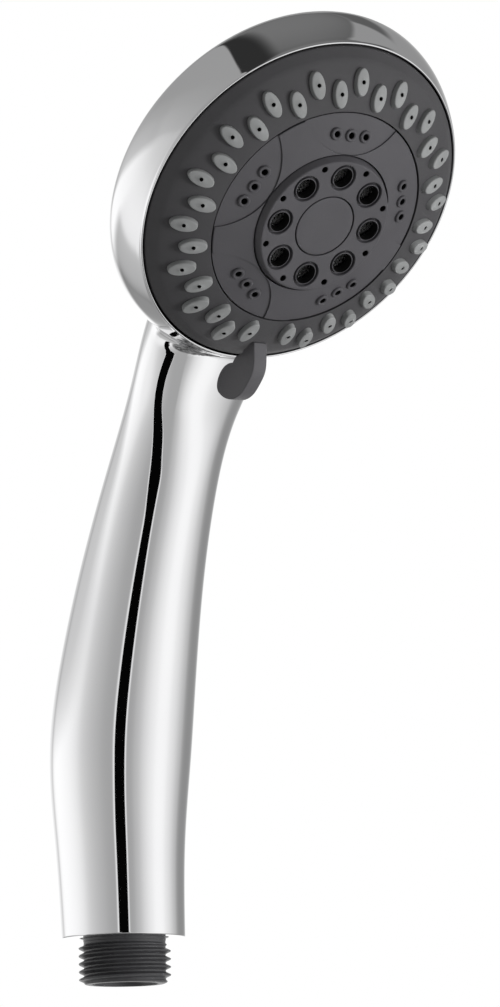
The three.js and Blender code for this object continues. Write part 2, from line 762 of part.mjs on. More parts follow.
function centreBoss() {
  const foot = CHANNEL_FLOOR_TOP + GAP;
  const plateBack = BOSS_TOP_OUT - BOSS_PLATE;
  const boss = revolve([
    [CAP_SPIGOT_R + GAP, foot], [BOSS_SLEEVE_R, foot], [BOSS_SLEEVE_R, plateBack],
    [BOSS_SKIRT_R, plateBack], [BOSS_SKIRT_R, foot], [BOSS_BASE_R, foot], [BOSS_BASE_R, FACE_OUT],
    [BOSS_TOP_R, BOSS_TOP_OUT], [CAP_R + GAP, BOSS_TOP_OUT],
    [CAP_R + GAP, BOSS_TOP_OUT - CAP_RECESS], [CAP_SPIGOT_R + GAP, BOSS_TOP_OUT - CAP_RECESS],
  ], 28);
  const jet = combine(cylinder(AERATED_HOLE_R, 0, 14, 10), {
    added: [cylinder(AERATED_RECESS_R, BOSS_TOP_OUT - AERATED_RECESS_DEPTH, 14, 10)],
  });
  return combine(boss, {
    cut: [
      ...aroundAxis(jet, AERATED_RING_R, aeratedAngles),
      ...aroundAxis(cylinder(MIST_HOLE_R, 4, 14, 4), MIST_RING_R, mistAngles),
    ],
  });
}

function centreCap() {
  const under = BOSS_TOP_OUT - CAP_RECESS + GAP;
  return revolve([
    [0, under], [CAP_SPIGOT_BORE_R, under], [CAP_SPIGOT_BORE_R, CAP_SPIGOT_END],
    [CAP_SPIGOT_R, CAP_SPIGOT_END], [CAP_SPIGOT_R, under], [CAP_R, under],
    [CAP_R, BOSS_TOP_OUT], [0, BOSS_TOP_OUT],
  ], 20);
}

// Wire-mesh ring behind the aerated jets, drawn with one group of slots per jet
function aeratorScreen() {
  const shape = new THREE.Shape().absarc(0, 0, SCREEN_OUTER_R, 0, Math.PI * 2);
  shape.holes.push(new THREE.Path().absarc(0, 0, SCREEN_INNER_R, 0, Math.PI * 2, true));
  const slot = new THREE.BoxGeometry(3.2, 0.7, 3).translate(0, 0, SCREEN_BACK);
  const slots = [-0.9, 0.9].flatMap((offset) => aroundAxis(
    slot.clone().translate(0, offset, 0),
    AERATED_RING_R,
    aeratedAngles,
  ));
  return combine(extrude(shape, SCREEN_BACK, SCREEN_FRONT, 12), { cut: slots });
}

const settingAngles = Array.from(
  { length: SETTING_COUNT },
  (_, i) => POCKET_ANGLE + SETTING_STEP_DEG * (i - (SETTING_COUNT - 1) / 2),
);

function channelPlate() {
  const plate = revolve([
    [PIVOT_R + 0.4, CHANNEL_FLOOR], [CHANNEL_R, CHANNEL_FLOOR], [CHANNEL_R, CHANNEL_FLOOR_TOP],
    [RAIN_WALL.outer, CHANNEL_FLOOR_TOP], [RAIN_WALL.outer, RAIN_WALL.top],
    [RAIN_WALL.inner, RAIN_WALL.top], [RAIN_WALL.inner, CHANNEL_FLOOR_TOP],
    [SHELF_WALL.outer, CHANNEL_FLOOR_TOP], [SHELF_WALL.outer, SHELF_WALL.top],
    [DISC_WALL.outer, SHELF_WALL.top], [DISC_WALL.outer, DISC_WALL.top],
    [DISC_WALL.inner, DISC_WALL.top], [DISC_WALL.inner, CHANNEL_FLOOR_TOP],
    [PIVOT_R + 0.4, CHANNEL_FLOOR_TOP],
  ], 24);
  const feedRadii = [31.5, 21, 11.5, 21, 31.5];
  const feed = cylinder(1.8, CHANNEL_FLOOR - 1, CHANNEL_FLOOR_TOP + 1, 8);
  return combine(plate, {
    cut: settingAngles.flatMap((angle, i) => aroundAxis(feed, feedRadii[i], [angle])),
  });
}

function portPlate() {
  const plate = revolve([
    [6, PORT_PLATE_BACK], [PORT_PLATE_R, PORT_PLATE_BACK], [PORT_PLATE_R, PORT_PLATE_FRONT],
    [PIVOT_R + 0.4, PORT_PLATE_FRONT], [PIVOT_R + 0.4, -6.8], [6, -6.8],
  ], 26);
  const port = cylinder(PORT_R, PORT_PLATE_BACK - 1, PORT_PLATE_FRONT + 1, 8);
  const dimple = cone(1.9, 0.8, PORT_PLATE_BACK - 0.4, PORT_PLATE_BACK + 1, 6);
  return combine(plate, {
    cut: [
      ...aroundAxis(port, PORT_RING_R, settingAngles),
      ...aroundAxis(dimple, DETENT_RING_R, settingAngles.map((angle) => angle + 180)),
    ],
  });
}

// Impeller that spins in the disc's chamber: its half shutter covers the massage jets
// one field after another.
function massageTurbine() {
  const hub = tube(17.5, 18.6, -4, 3.9, 24);
  const blades = evenAngles(9, 10).map((angle) => new THREE.BoxGeometry(5.9, 0.9, 6)
    .rotateZ(THREE.MathUtils.degToRad(35))
    .translate(21, 0, -0.6)
    .rotateZ(THREE.MathUtils.degToRad(angle)));
  const shutter = new THREE.Shape();
  shutter.absarc(0, 0, 24.3, 0, Math.PI, false);
  shutter.absarc(0, 0, 18.2, Math.PI, 0, true);
  return combine(hub, { added: [...blades, extrude(shutter, 2.2, 3.4, 12)] });
}

// ---------------------------------------------------------------- assembly

const group = new THREE.Group();
group.add(headFrame);

function addPiece(parent, name, geometry, material) {
  const piece = new THREE.Mesh(geometry, material);
  piece.name = name;
  parent.add(piece);
  return piece;
}

addPiece(group, 'body_shell', bodyShell(), FINISHES.chrome);
addPiece(group, 'inlet_connector', inletConnector(), FINISHES.darkPlastic);
addPiece(group, 'inlet_filter', inletFilter(), FINISHES.steel);
addPiece(group, 'flow_restrictor', flowRestrictor(), FINISHES.acetal);
addPiece(group, 'check_valve_cage', checkValveCage(), FINISHES.acetal);
addPiece(group, 'check_valve_poppet', checkValvePoppet(), FINISHES.acetal);
addPiece(group, 'check_valve_seal', tube(3.8, 4.7, 10.1, 10.6, 20), FINISHES.rubber);
addPiece(group, 'check_valve_spring', coilSpring(2.2, 0.3, 12.9, 19.4, 5), FINISHES.steel);
addPiece(group, 'connector_o_ring', oRing(9.1, 1.3, 19.9), FINISHES.rubber);
addPiece(group, 'waterway_tube', waterwayTube(), FINISHES.innerPlastic);

addPiece(headFrame, 'valve_base', valveBase(), FINISHES.innerPlastic);
addPiece(headFrame, 'port_seal', portSeal(), FINISHES.rubber)
  .position.set(0, -PORT_RING_R, 0);
addPiece(headFrame, 'port_seal_spring', coilSpring(3.9, 0.35, -16.5, -12.7, 4), FINISHES.steel)
  .position.set(0, -PORT_RING_R, 0);
addPiece(headFrame, 'detent_plunger', detentPlunger(), FINISHES.acetal)
  .position.set(0, DETENT_RING_R, 0);
addPiece(headFrame, 'detent_spring', coilSpring(1.5, 0.25, -14.8, -12.5, 3), FINISHES.steel)
  .position.set(0, DETENT_RING_R, 0);
screwAngles.forEach((angle, i) => {
  const turn = THREE.MathUtils.degToRad(angle);
  addPiece(headFrame, `base_screw_${i + 1}`, panHeadScrew(2.6, 1.6, 1.4, 5.8), FINISHES.steel)
    .position.set(
      BASE_SCREW_RING_R * Math.cos(turn),
      BASE_SCREW_RING_R * Math.sin(turn),
      BASE_FRONT + GAP,
    );
});
addPiece(headFrame, 'pivot_screw', panHeadScrew(3.2, 2, 1.55, 9.2), FINISHES.steel)
  .position.set(0, 0, -2);
addPiece(headFrame, 'pivot_washer', tube(1.9, 5.4, -3, -2.3, 24), FINISHES.steel);
addPiece(headFrame, 'pivot_o_ring', oRing(4.95, 1.3, -7.6, 16), FINISHES.rubber);

addPiece(headFrame, 'port_plate', portPlate(), FINISHES.acetal);
addPiece(headFrame, 'channel_plate', channelPlate(), FINISHES.innerPlastic);
addPiece(headFrame, 'massage_turbine', massageTurbine(), FINISHES.acetal);
addPiece(headFrame, 'rain_nozzle_mat', nozzleMat(), FINISHES.silicone);
addPiece(headFrame, 'outer_ring', outerRing(), FINISHES.ringPlastic);
addPiece(headFrame, 'selector_lever', selectorLever(), FINISHES.ringPlastic);
addPiece(headFrame, 'inner_disc', innerDisc(), FINISHES.discPlastic);
addPiece(headFrame, 'aerator_screen', aeratorScreen(), FINISHES.steel);
addPiece(headFrame, 'centre_boss', centreBoss(), FINISHES.discPlastic);
addPiece(headFrame, 'centre_cap', centreCap(), FINISHES.discPlastic);

export default group;
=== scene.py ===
import math

import bmesh
import bpy
import numpy as np
from mathutils import Matrix


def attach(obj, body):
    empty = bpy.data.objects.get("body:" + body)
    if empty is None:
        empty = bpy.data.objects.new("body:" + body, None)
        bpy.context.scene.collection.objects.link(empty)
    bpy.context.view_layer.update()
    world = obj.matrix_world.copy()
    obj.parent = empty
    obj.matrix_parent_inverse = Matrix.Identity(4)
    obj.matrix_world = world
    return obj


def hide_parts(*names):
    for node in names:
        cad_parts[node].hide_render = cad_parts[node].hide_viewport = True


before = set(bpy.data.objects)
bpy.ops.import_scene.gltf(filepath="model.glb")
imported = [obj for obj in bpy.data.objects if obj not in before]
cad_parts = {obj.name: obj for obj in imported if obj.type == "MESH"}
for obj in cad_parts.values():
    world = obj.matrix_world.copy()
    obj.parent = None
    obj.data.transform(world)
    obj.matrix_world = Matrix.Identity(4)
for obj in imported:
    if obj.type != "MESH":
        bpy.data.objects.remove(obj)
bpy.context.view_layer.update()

# Lengths are in millimetres until a mesh is made.  The head's own frame has +Z along the
# spray, +Y away from the handle, and its origin in the middle of the face's outer edge.
MM = 0.001

# ---------------------------------------------------------------- driving dimensions

FACE_CENTRE = np.array([0.0, -72.63, 169.57])
FACE_TILT = math.radians(36.82)
SPRAY = np.array([0.0, -math.cos(FACE_TILT), -math.sin(FACE_TILT)])
AWAY = np.array([0.0, -math.sin(FACE_TILT), math.cos(FACE_TILT)])

HANDLE_END = 10.5
HANDLE_STATIONS = [  # y, z, half width, half depth
    (0.4, 10.5, 14.1, 14.1),
    (1.1, 32, 14.9, 14.9),
    (0.5, 52, 16.4, 15.8),
    (-3.4, 72, 16.0, 14.8),
    (-9.3, 92, 14.7, 13.1),
    (-17.2, 112, 13.5, 11.2),
    (-26.7, 130, 13.6, 10.2),
]
NECK_STATIONS = [  # place in the head's frame: up, out, half width, half depth
    (-48, -13.7, 15.0, 10.2),
    (-36, -14.4, 15.4, 10.4),
    (-20, -13, 14, 10),
    (-8, -12, 11, 9),
]
WALL = 2.2
NECK_BLEND = 4.0
NET_STEP = 0.8  # size of the faces of the body's outer wall
END_ROUND = 0.35
END_SOCKET_BORE_R, END_SOCKET_DEPTH = 10.1, 13

RIM_R, RIM_DEPTH, RIM_CORNER_R, DOME_DEPTH = 42.6, 9.0, 4.0, 24.0
LIP_R, LIP_INNER_R = 40.0, 39.5
LIP_CUT = -1.5
INNER_CUT = -5.0

FACE_OUT, FACE_SLOPE, FACE_ROUNDING = 9.9, 0.26, 2.25
RING_R, RING_CHAMFER_R, JOINT_R = 39.1, 37.0, 26.4
RING_THICKNESS, SKIRT_DEPTH = 2.2, 4.0
DISC_R, DISC_THICKNESS = 26.1, 2.0
BOSS_BASE_R, BOSS_TOP_R, BOSS_TOP_OUT, BOSS_SKIRT_R = 16.8, 16.1, 11.4, 15.9
BOSS_PLATE, BOSS_SLEEVE_R = 2.5, 7.4
CAP_R, CAP_RECESS, CAP_SPIGOT_R, CAP_SPIGOT_BORE_R, CAP_SPIGOT_END = 7.2, 1.9, 5.6, 4.4, 4.6
CHAMBER_FLOOR = -4.2
FACE_SEGMENTS = 216

OUTER_ROW = (33.33, 5.98, [110 - 20 * i for i in range(18) if i != 10])
INNER_ROW = (30.75, 7.09, [100 - 20 * i for i in range(18)])
NOZZLE_LENGTH, NOZZLE_WIDTH, NOZZLE_HOLE_R = 6.3, 3.3, 0.45
MAT_R, MAT_INNER_R, MAT_THICKNESS = 36.7, 26.8, 2.3
GAP = 0.3

FIELD_ANGLES = [90 + 72 * i for i in range(5)]
FIELD_ARC_R, FIELD_ARC_CENTRE_R, FIELD_DEPTH = 16.0, 33.0, 0.35
JET_ROW_R, JET_SPACING, JET_R, JET_HOLE_R, JET_TOP = 21.45, 3.94, 1.45, 0.72, 8.9

AERATED_ANGLES = [90 + 45 * i for i in range(8)]
AERATED_RING_R, AERATED_HOLE_R, AERATED_RECESS_R, AERATED_RECESS = 12.19, 2.4, 3.2, 1.1
SLEEVE_R = 2.62
MIST_RING_R, MIST_HOLE_R = 14.83, 0.72
SCREEN_OUT, SCREEN_R = 8.3, (7.8, 15.6)

LEVER_THICKNESS, LEVER_SLOT_END, LEVER_SLOT_FLOOR = 3.7, 33.0, 2.2

THREAD_MAJOR_R, THREAD_MINOR_R = 20.955 / 2, 18.631 / 2
THREAD_PITCH, THREAD_LENGTH, THREAD_START = 1.814, 9.4, 0.33
PIPE_R, CONNECTOR_R, INLET_BORE_R, CONNECTOR_TOP = 9.4, 9.8, 7.2, 26
GROOVE_R, GROOVE_LOW, GROOVE_HIGH = 8.2, 18.6, 21.2
TUBE_SOCKET_R, TUBE_BORE_R, TUBE_SOCKET_TOP = 9, 7.1, 36
SEAT_R, SEAT_LOW, SEAT_HIGH = 5.5, 22, 24


def to_world(points):
    p = np.asarray(points, float)
    side = p[..., 0:1] * np.array([1.0, 0, 0])
    return FACE_CENTRE + side + p[..., 1:2] * AWAY + p[..., 2:3] * SPRAY


def to_head(points):
    q = points - FACE_CENTRE
    return np.stack([q[..., 0], q @ AWAY, q @ SPRAY], -1)


# ---------------------------------------------------------------- body surface


class Spline:
    """Natural cubic spline through rows of numbers, by chord length of their first two columns."""

    def __init__(self, rows):
        y = np.array(rows, float)
        t = np.concatenate([[0], np.cumsum(np.hypot(*np.diff(y[:, :2], axis=0).T))])
        h = np.diff(t)
        matrix, right = np.eye(len(t)), np.zeros_like(y)
        for i in range(1, len(t) - 1):
            matrix[i, i - 1 : i + 2] = h[i - 1], 2 * (h[i - 1] + h[i]), h[i]
            right[i] = 6 * ((y[i + 1] - y[i]) / h[i] - (y[i] - y[i - 1]) / h[i - 1])
        self.t, self.y, self.bend = t, y, np.linalg.solve(matrix, right)

    def __call__(self, s, order=0):
        i = np.clip(np.searchsorted(self.t, s, side="right") - 1, 0, len(self.t) - 2)
        h = (self.t[i + 1] - self.t[i])[..., None]
        u = (s - self.t[i])[..., None]
        c1 = (self.y[i + 1] - self.y[i]) / h - h * (2 * self.bend[i] + self.bend[i + 1]) / 6
        c2, c3 = self.bend[i] / 2, (self.bend[i + 1] - self.bend[i]) / (6 * h)
        if order == 0:
            return self.y[i] + u * (c1 + u * (c2 + u * c3))
        return c1 + u * (2 * c2 + 3 * u * c3) if order == 1 else 2 * c2 + 6 * u * c3


def centre_line():
    rows = list(HANDLE_STATIONS)
    for up, out, wide, deep in NECK_STATIONS:
        place = to_world((0, up, out))
        rows.append((place[1], place[2], wide, deep))
    return Spline(rows)


LINE = centre_line()
LINE_LOW, LINE_HIGH = -14.0, LINE.t[-1]


def line_at(s, order=0):
    """The centre line and the girth; the line runs on straight below the handle's end."""
    value = LINE(np.clip(s, 0, LINE_HIGH), order)
    if order == 0:
        start = LINE(np.zeros(1), 1)[0]
        start[2:] = 0
        return value + np.minimum(s, 0)[..., None] * start
    return value


def first_guess(y, z):
    samples = np.linspace(LINE_LOW, LINE_HIGH, 260)
    points = line_at(samples)[:, :2]
    guess = np.empty(y.size)
    flat_y, flat_z, step = y.ravel(), z.ravel(), 20000
    for i in range(0, y.size, step):
        d = np.hypot(flat_y[i : i + step, None] - points[:, 0], flat_z[i : i + step, None] - points[:, 1])
        guess[i : i + step] = samples[d.argmin(1)]
    return guess.reshape(y.shape)


def line_offset(y, z, guess):
    """Signed distance from the centre line in the plane of symmetry, and the girth there."""
    s, target = guess, np.stack([y, z], -1)
    for _ in range(3):
        speed = line_at(s, 1)[..., :2]
        gap = target - line_at(s)[..., :2]
        bottom = (speed**2).sum(-1) - (gap * line_at(s, 2)[..., :2]).sum(-1)
        s = np.clip(s + (gap * speed).sum(-1) / np.maximum(bottom, 0.2), LINE_LOW, LINE_HIGH)
    row, speed = line_at(s), line_at(s, 1)[..., :2]
    speed = speed / np.linalg.norm(speed, axis=-1, keepdims=True)
    gap = target - row[..., :2]
    return gap[..., 0] * speed[..., 1] - gap[..., 1] * speed[..., 0], row[..., 2], row[..., 3]


def oval_field(x, offset, wide, deep):
    a, b = x / wide, offset / deep
    k0, k1 = np.hypot(a, b), np.hypot(a / wide, b / deep)
    return np.where(k1 > 1e-9, k0 * (k0 - 1) / np.maximum(k1, 1e-9), -deep)


def rim_radius(height):
    phase = np.clip(-height / RIM_DEPTH, -0.4, 1) * np.pi / 2
    return LIP_R + (RIM_R - LIP_R) * np.sin(phase)


def head_field(q):
    r, h = np.hypot(q[..., 0], q[..., 1]), q[..., 2]
    corner_x = RIM_R - RIM_CORNER_R
    reach = DOME_DEPTH - RIM_DEPTH
    dome_r = (corner_x**2 + reach**2 - RIM_CORNER_R**2) / (2 * (reach - RIM_CORNER_R))
    dome_c = dome_r - DOME_DEPTH
    slope = (RIM_R - LIP_R) * np.cos(np.clip(-h / RIM_DEPTH, -0.4, 1) * np.pi / 2) * np.pi / 2 / RIM_DEPTH
    side = (r - rim_radius(h)) / np.sqrt(1 + slope**2)
    corner = np.hypot(r - corner_x, h + RIM_DEPTH) - RIM_CORNER_R
    dome = np.hypot(r, h - dome_c) - dome_r
    on_dome = r * (dome_c + RIM_DEPTH) < corner_x * (dome_c - h)
    return np.where(h > -RIM_DEPTH, np.maximum(side, h - 4), np.where(on_dome, dome, corner))


def join(head, handle, h):
    """Both fields as one, with a fillet that dies out towards the front lip."""
    u = np.clip((LIP_CUT - h) / 9, 0, 1)
    blend = 0.1 + NECK_BLEND * u * u * (3 - 2 * u)
    t = np.clip(0.5 + 0.5 * (handle - head) / blend, 0, 1)
    return handle * (1 - t) + head * t - blend * t * (1 - t)


def joined_field(p, offset, wide, deep):
    """Head and handle as one; the handle ends inside the head."""
    q = to_head(p)
    handle = np.maximum(oval_field(p[..., 0], offset, wide, deep), q[..., 1] + 8)
    return join(head_field(q), handle, q[..., 2])


def body_field(p, guess):
    return joined_field(p, *line_offset(p[..., 1], p[..., 2], guess))


def gradient(p, guess):
    e = 0.01
    steps = [body_field(p + d, guess) - body_field(p - d, guess) for d in e * np.eye(3)]
    return np.stack(steps, -1) / (2 * e)


def moved_cells(index, u, v, du, dv):
    cell = index.copy()
    cell[:, u] += du
    cell[:, v] += dv
    return cell


def surface_net(level, step):
    """Vertices and quads of the body surface where the field has that level."""
    low, high = np.array([-45.0, -103.0, 4.0]), np.array([45.0, 20.0, 214.0])
    axes = [np.arange(a, b, step) for a, b in zip(low, high)]
    y, z = np.meshgrid(axes[1], axes[2], indexing="ij")
    guess = first_guess(y, z)
    offset, wide, deep = line_offset(y, z, guess)
    x = axes[0][:, None, None]
    p = np.stack(np.broadcast_arrays(x, y[None], z[None]), -1)
    field = (joined_field(p, offset[None], wide[None], deep[None]) - level).astype(np.float32)
    inside = field < 0
    shape = np.array(field.shape)
    total = np.zeros(tuple(shape - 1) + (3,), np.float32)
    count = np.zeros(tuple(shape - 1), np.int16)
    crossings = []
    for axis in range(3):
        a, b = [slice(None)] * 3, [slice(None)] * 3
        a[axis], b[axis] = slice(0, -1), slice(1, None)
        cross = inside[tuple(a)] != inside[tuple(b)]
        index = np.argwhere(cross)
        f0 = field[tuple(a)][cross]
        f1 = field[tuple(b)][cross]
        point = index.astype(np.float32)
        point[:, axis] += f0 / (f0 - f1)
        u, v = [k for k in range(3) if k != axis]
        for du in (0, -1):
            for dv in (0, -1):
                cell = moved_cells(index, u, v, du, dv)
                ok = ((cell >= 0) & (cell < shape - 1)).all(1)
                np.add.at(total, tuple(cell[ok].T), point[ok])
                np.add.at(count, tuple(cell[ok].T), 1)
        crossings.append((axis, index, inside[tuple(a)][cross]))
    used = count > 0
    number = np.full(count.shape, -1)
    number[used] = np.arange(used.sum())
    vertices = low + step * (total[used] / count[used][:, None])
    quads = []
    for axis, index, goes_out in crossings:
        u, v = (axis + 1) % 3, (axis + 2) % 3
        ok = (index[:, u] > 0) & (index[:, v] > 0)
        index, goes_out = index[ok], goes_out[ok]
        corners = []
        for du, dv in ((-1, -1), (0, -1), (0, 0), (-1, 0)):
            corners.append(number[tuple(moved_cells(index, u, v, du, dv).T)])
        quad = np.stack(corners, -1)
        quad[~goes_out] = quad[~goes_out][:, ::-1]
        quads.append(quad)
    p = vertices
    guess = first_guess(p[:, 1], p[:, 2])
    for _ in range(4):
        g = gradient(p, guess)
        f = body_field(p, guess) - level
        p = p - f[:, None] * g / np.maximum((g**2).sum(-1, keepdims=True), 0.05)
    return p, np.concatenate(quads)


def trimmed(points, quads, rim_height, end_height):
    """The surface with the front of the head and the lower end of the handle cut off: its
    vertices, faces, and the two loops of cut vertices."""
    mesh = bpy.data.meshes.new("net")
    mesh.from_pydata(points.tolist(), [], quads.tolist())
    bm = bmesh.new()
    bm.from_mesh(mesh)
    bpy.data.meshes.remove(mesh)
    heads = to_head(np.array([v.co for v in bm.verts], float))
    near_face = (np.hypot(heads[:, 0], heads[:, 1]) < 44) & (heads[:, 2] > rim_height - 3)
    faces = [f for f in bm.faces if all(near_face[v.index] for v in f.verts)]
    edges = {e for f in faces for e in f.edges}
    verts = {v for f in faces for v in f.verts}
    cut = {"dist": 1e-5, "clear_outer": True}
    place = to_world((0, 0, rim_height))
    bmesh.ops.bisect_plane(bm, geom=[*faces, *edges, *verts], plane_co=place, plane_no=SPRAY, **cut)
    place, geometry = (0, 0, end_height), [*bm.faces, *bm.edges, *bm.verts]
    bmesh.ops.bisect_plane(bm, geom=geometry, plane_co=place, plane_no=(0, 0, -1), **cut)
    bm.verts.index_update()
    co = np.array([v.co for v in bm.verts], float)
    open_verts = [v.index for v in bm.verts if any(len(e.link_faces) == 1 for e in v.link_edges)]
    found = [[v.index for v in f.verts] for f in bm.faces]
    bm.free()
    rim = [i for i in open_verts if co[i, 2] > 100]
    end = [i for i in open_verts if co[i, 2] < 60]
    q = to_head(co)
    rim.sort(key=lambda i: math.atan2(q[i, 1], q[i, 0]))
    middle = co[end].mean(0)
    end.sort(key=lambda i: math.atan2(co[i, 1] - middle[1], co[i, 0]))
    return co, found, rim, end


def zipper(a, angles_a, b, angles_b, flip):
    """Triangles between two loops of vertex numbers that run round the same axis."""
    n, m = len(a), len(b)
    shift = int(np.argmin(np.abs((angles_b - angles_a[0] + np.pi) % (2 * np.pi) - np.pi)))
    b, angles_b = np.roll(b, -shift), np.roll(angles_b, -shift)
    angles_a = np.append(angles_a, angles_a[0] + 2 * np.pi)
    angles_b = angles_a[0] + (angles_b - angles_a[0] + np.pi) % (2 * np.pi) - np.pi
    angles_b = np.unwrap(np.append(angles_b, angles_b[0]))
    i = j = 0
    faces = []
    while i < n or j < m:
        if j >= m or (i < n and angles_a[i + 1] <= angles_b[j + 1]):
            face = [a[i % n], a[(i + 1) % n], b[j % m]]
            i += 1
        else:
            face = [a[i % n], b[(j + 1) % m], b[j % m]]
            j += 1
        faces.append([int(k) for k in (face[::-1] if flip else face)])
    return faces


def body_mesh(step):
    """The hollow handset: outer wall, rounded lip and end, and inner wall as one closed shell."""
    outer = trimmed(*surface_net(0.0, step), LIP_CUT, HANDLE_END + END_ROUND + 0.3)
    inner = trimmed(*surface_net(-WALL, 2 * step), INNER_CUT, HANDLE_END + END_SOCKET_DEPTH)
    points, faces = [outer[0], inner[0]], list(outer[1])
    base = len(outer[0])
    faces += [[base + i for i in f[::-1]] for f in inner[1]]
    normals = []
    for co, sign in ((outer[0], 1), (inner[0], -1)):
        g = gradient(co, first_guess(co[:, 1], co[:, 2]))
        normals.append(sign * g / np.maximum(np.linalg.norm(g, axis=1, keepdims=True), 1e-6))
    total = base + len(inner[0])

    def add_ring(ring, normal):
        nonlocal total
        points.append(ring)
        normals.append(normal)
        numbers = np.arange(total, total + len(ring))
        total += len(ring)
        return numbers

    def strip(a, b):
        faces.extend(np.stack([a, np.roll(a, -1), np.roll(b, -1), b], -1).tolist())

    # front lip
    loop = np.array(outer[2])
    q = to_head(outer[0][loop])
    angle = np.arctan2(q[:, 1], q[:, 0])
    radius = rim_radius(np.array(LIP_CUT))
    on_rim = [radius * np.cos(angle), radius * np.sin(angle), 0 * angle + LIP_CUT]
    points[0][loop] = to_world(np.stack(on_rim, -1))
    middle, half = (LIP_R + LIP_INNER_R) / 2, (LIP_R - LIP_INNER_R) / 2
    profile = [(rim_radius(np.array(h)), h, 0.9, 0.43) for h in (-1.0, -0.6)]
    for k in range(7):
        n_r, n_h = math.cos(math.pi * k / 6), math.sin(math.pi * k / 6)
        profile.append((middle + half * n_r, half * n_h - half, n_r, n_h))
    profile += [(LIP_INNER_R, -1.0, -1, 0), (LIP_INNER_R, INNER_CUT + 0.8, -1, 0)]
    last = loop
    for r, h, n_r, n_h in profile:
        size = math.hypot(n_r, n_h)
        ring = to_world(np.stack([r * np.cos(angle), r * np.sin(angle), 0 * angle + h], -1))
        normal = np.stack([n_r * np.cos(angle), n_r * np.sin(angle), 0 * angle + n_h], -1) / size
        numbers = add_ring(ring, to_world(normal) - FACE_CENTRE)
        strip(last, numbers)
        last = numbers
    loop_in = np.array(inner[2]) + base
    q_in = to_head(inner[0][inner[2]])
    angle_in = np.unwrap(np.arctan2(q_in[:, 1], q_in[:, 0]))
    faces.extend(zipper(last, np.unwrap(angle), loop_in, angle_in, False))

    # lower end of the handle
    loop = np.array(outer[3])
    ring0, normal0 = outer[0][loop], normals[0][loop]
    flat = normal0 * [1, 1, 0]
    flat /= np.linalg.norm(flat, axis=1, keepdims=True)
    down = np.array([0, 0, -1.0])
    sections = []
    for k in range(6):
        turn = math.pi / 2 * k / 5
        inset, height = END_ROUND * (1 - math.cos(turn)), END_ROUND * (1 - math.sin(turn))
        sections.append((inset, HANDLE_END + height, turn))
    last = loop
    for inset, height, turn in sections:
        ring = ring0 - inset * flat
        ring[:, 2] = height
        numbers = add_ring(ring, math.cos(turn) * flat + math.sin(turn) * down)
        strip(numbers, last)
        last = numbers
    centre = ring0.mean(0)
    angle = np.unwrap(np.arctan2(ring0[:, 1] - centre[1], ring0[:, 0]))
    spokes = np.stack([np.cos(angle), np.sin(angle), 0 * angle], -1)
    socket = [(END_SOCKET_BORE_R + 0.3, 0, math.pi / 2), (END_SOCKET_BORE_R, 0.3, math.pi)]
    socket += [(END_SOCKET_BORE_R, END_SOCKET_DEPTH - 0.2, math.pi)]
    socket += [(END_SOCKET_BORE_R + 0.2, END_SOCKET_DEPTH, -math.pi / 2)]
    for radius, height, turn in socket:
        ring = radius * spokes + [0, 0, HANDLE_END + height]
        numbers = add_ring(ring, -math.sin(turn - math.pi / 2) * spokes + math.sin(turn) * down)
        strip(numbers, last)
        last = numbers
    loop_in = np.array(inner[3]) + base
    end_in = inner[0][inner[3]]
    angle_in = np.unwrap(np.arctan2(end_in[:, 1] - centre[1], end_in[:, 0]))
    faces.extend(zipper(last, angle, loop_in, angle_in, True))
    return np.concatenate(points), faces, np.concatenate(normals)


# ---------------------------------------------------------------- meshes


def make_object(name, points, faces, material, in_head=False):
    mesh = bpy.data.meshes.new(name)
    points = to_world(points) if in_head else np.asarray(points, float)
    mesh.from_pydata((points * MM).tolist(), [], [list(map(int, f)) for f in faces])
    mesh.validate()
    piece = bpy.data.objects.new(name, mesh)
    bpy.context.scene.collection.objects.link(piece)
    for m in material if isinstance(material, list) else [material]:
        mesh.materials.append(m)
    return piece


def merged(parts):
    points, faces, total = [], [], 0
    for p, f in parts:
        points.append(np.asarray(p, float))
        faces.extend([[i + total for i in face] for face in f])
        total += len(p)
    return np.concatenate(points), faces


def turned(part, degrees_z, radius=0.0, lean=0.0, height=0.0):
    """A part leant outwards, lifted, moved out to a radius and turned round the face's axis."""
    points, faces = part
    p = np.asarray(points, float)
    c, s = math.cos(lean), math.sin(lean)
    p = np.stack([p[:, 0] * c + p[:, 2] * s + radius, p[:, 1], p[:, 2] * c - p[:, 0] * s + height], -1)
    c, s = math.cos(math.radians(degrees_z)), math.sin(math.radians(degrees_z))
    return np.stack([p[:, 0] * c - p[:, 1] * s, p[:, 0] * s + p[:, 1] * c, p[:, 2]], -1), faces


def rounded(corners, steps=4):
    """An outline of (radius, height, fillet) corners with each fillet drawn as short steps."""
    outline = []
    n = len(corners)
    for i, (r, h, fillet) in enumerate(corners):
        here = np.array([r, h], float)
        if fillet <= 0:
            outline.append(tuple(here))
            continue
        before = np.array(corners[i - 1][:2], float) - here
        after = np.array(corners[(i + 1) % n][:2], float) - here
        room = min(fillet, 0.45 * np.linalg.norm(before), 0.45 * np.linalg.norm(after))
        a = here + before / np.linalg.norm(before) * room
        b = here + after / np.linalg.norm(after) * room
        for k in range(steps + 1):
            t = k / steps
            outline.append(tuple((1 - t) ** 2 * a + 2 * t * (1 - t) * here + t**2 * b))
    return outline


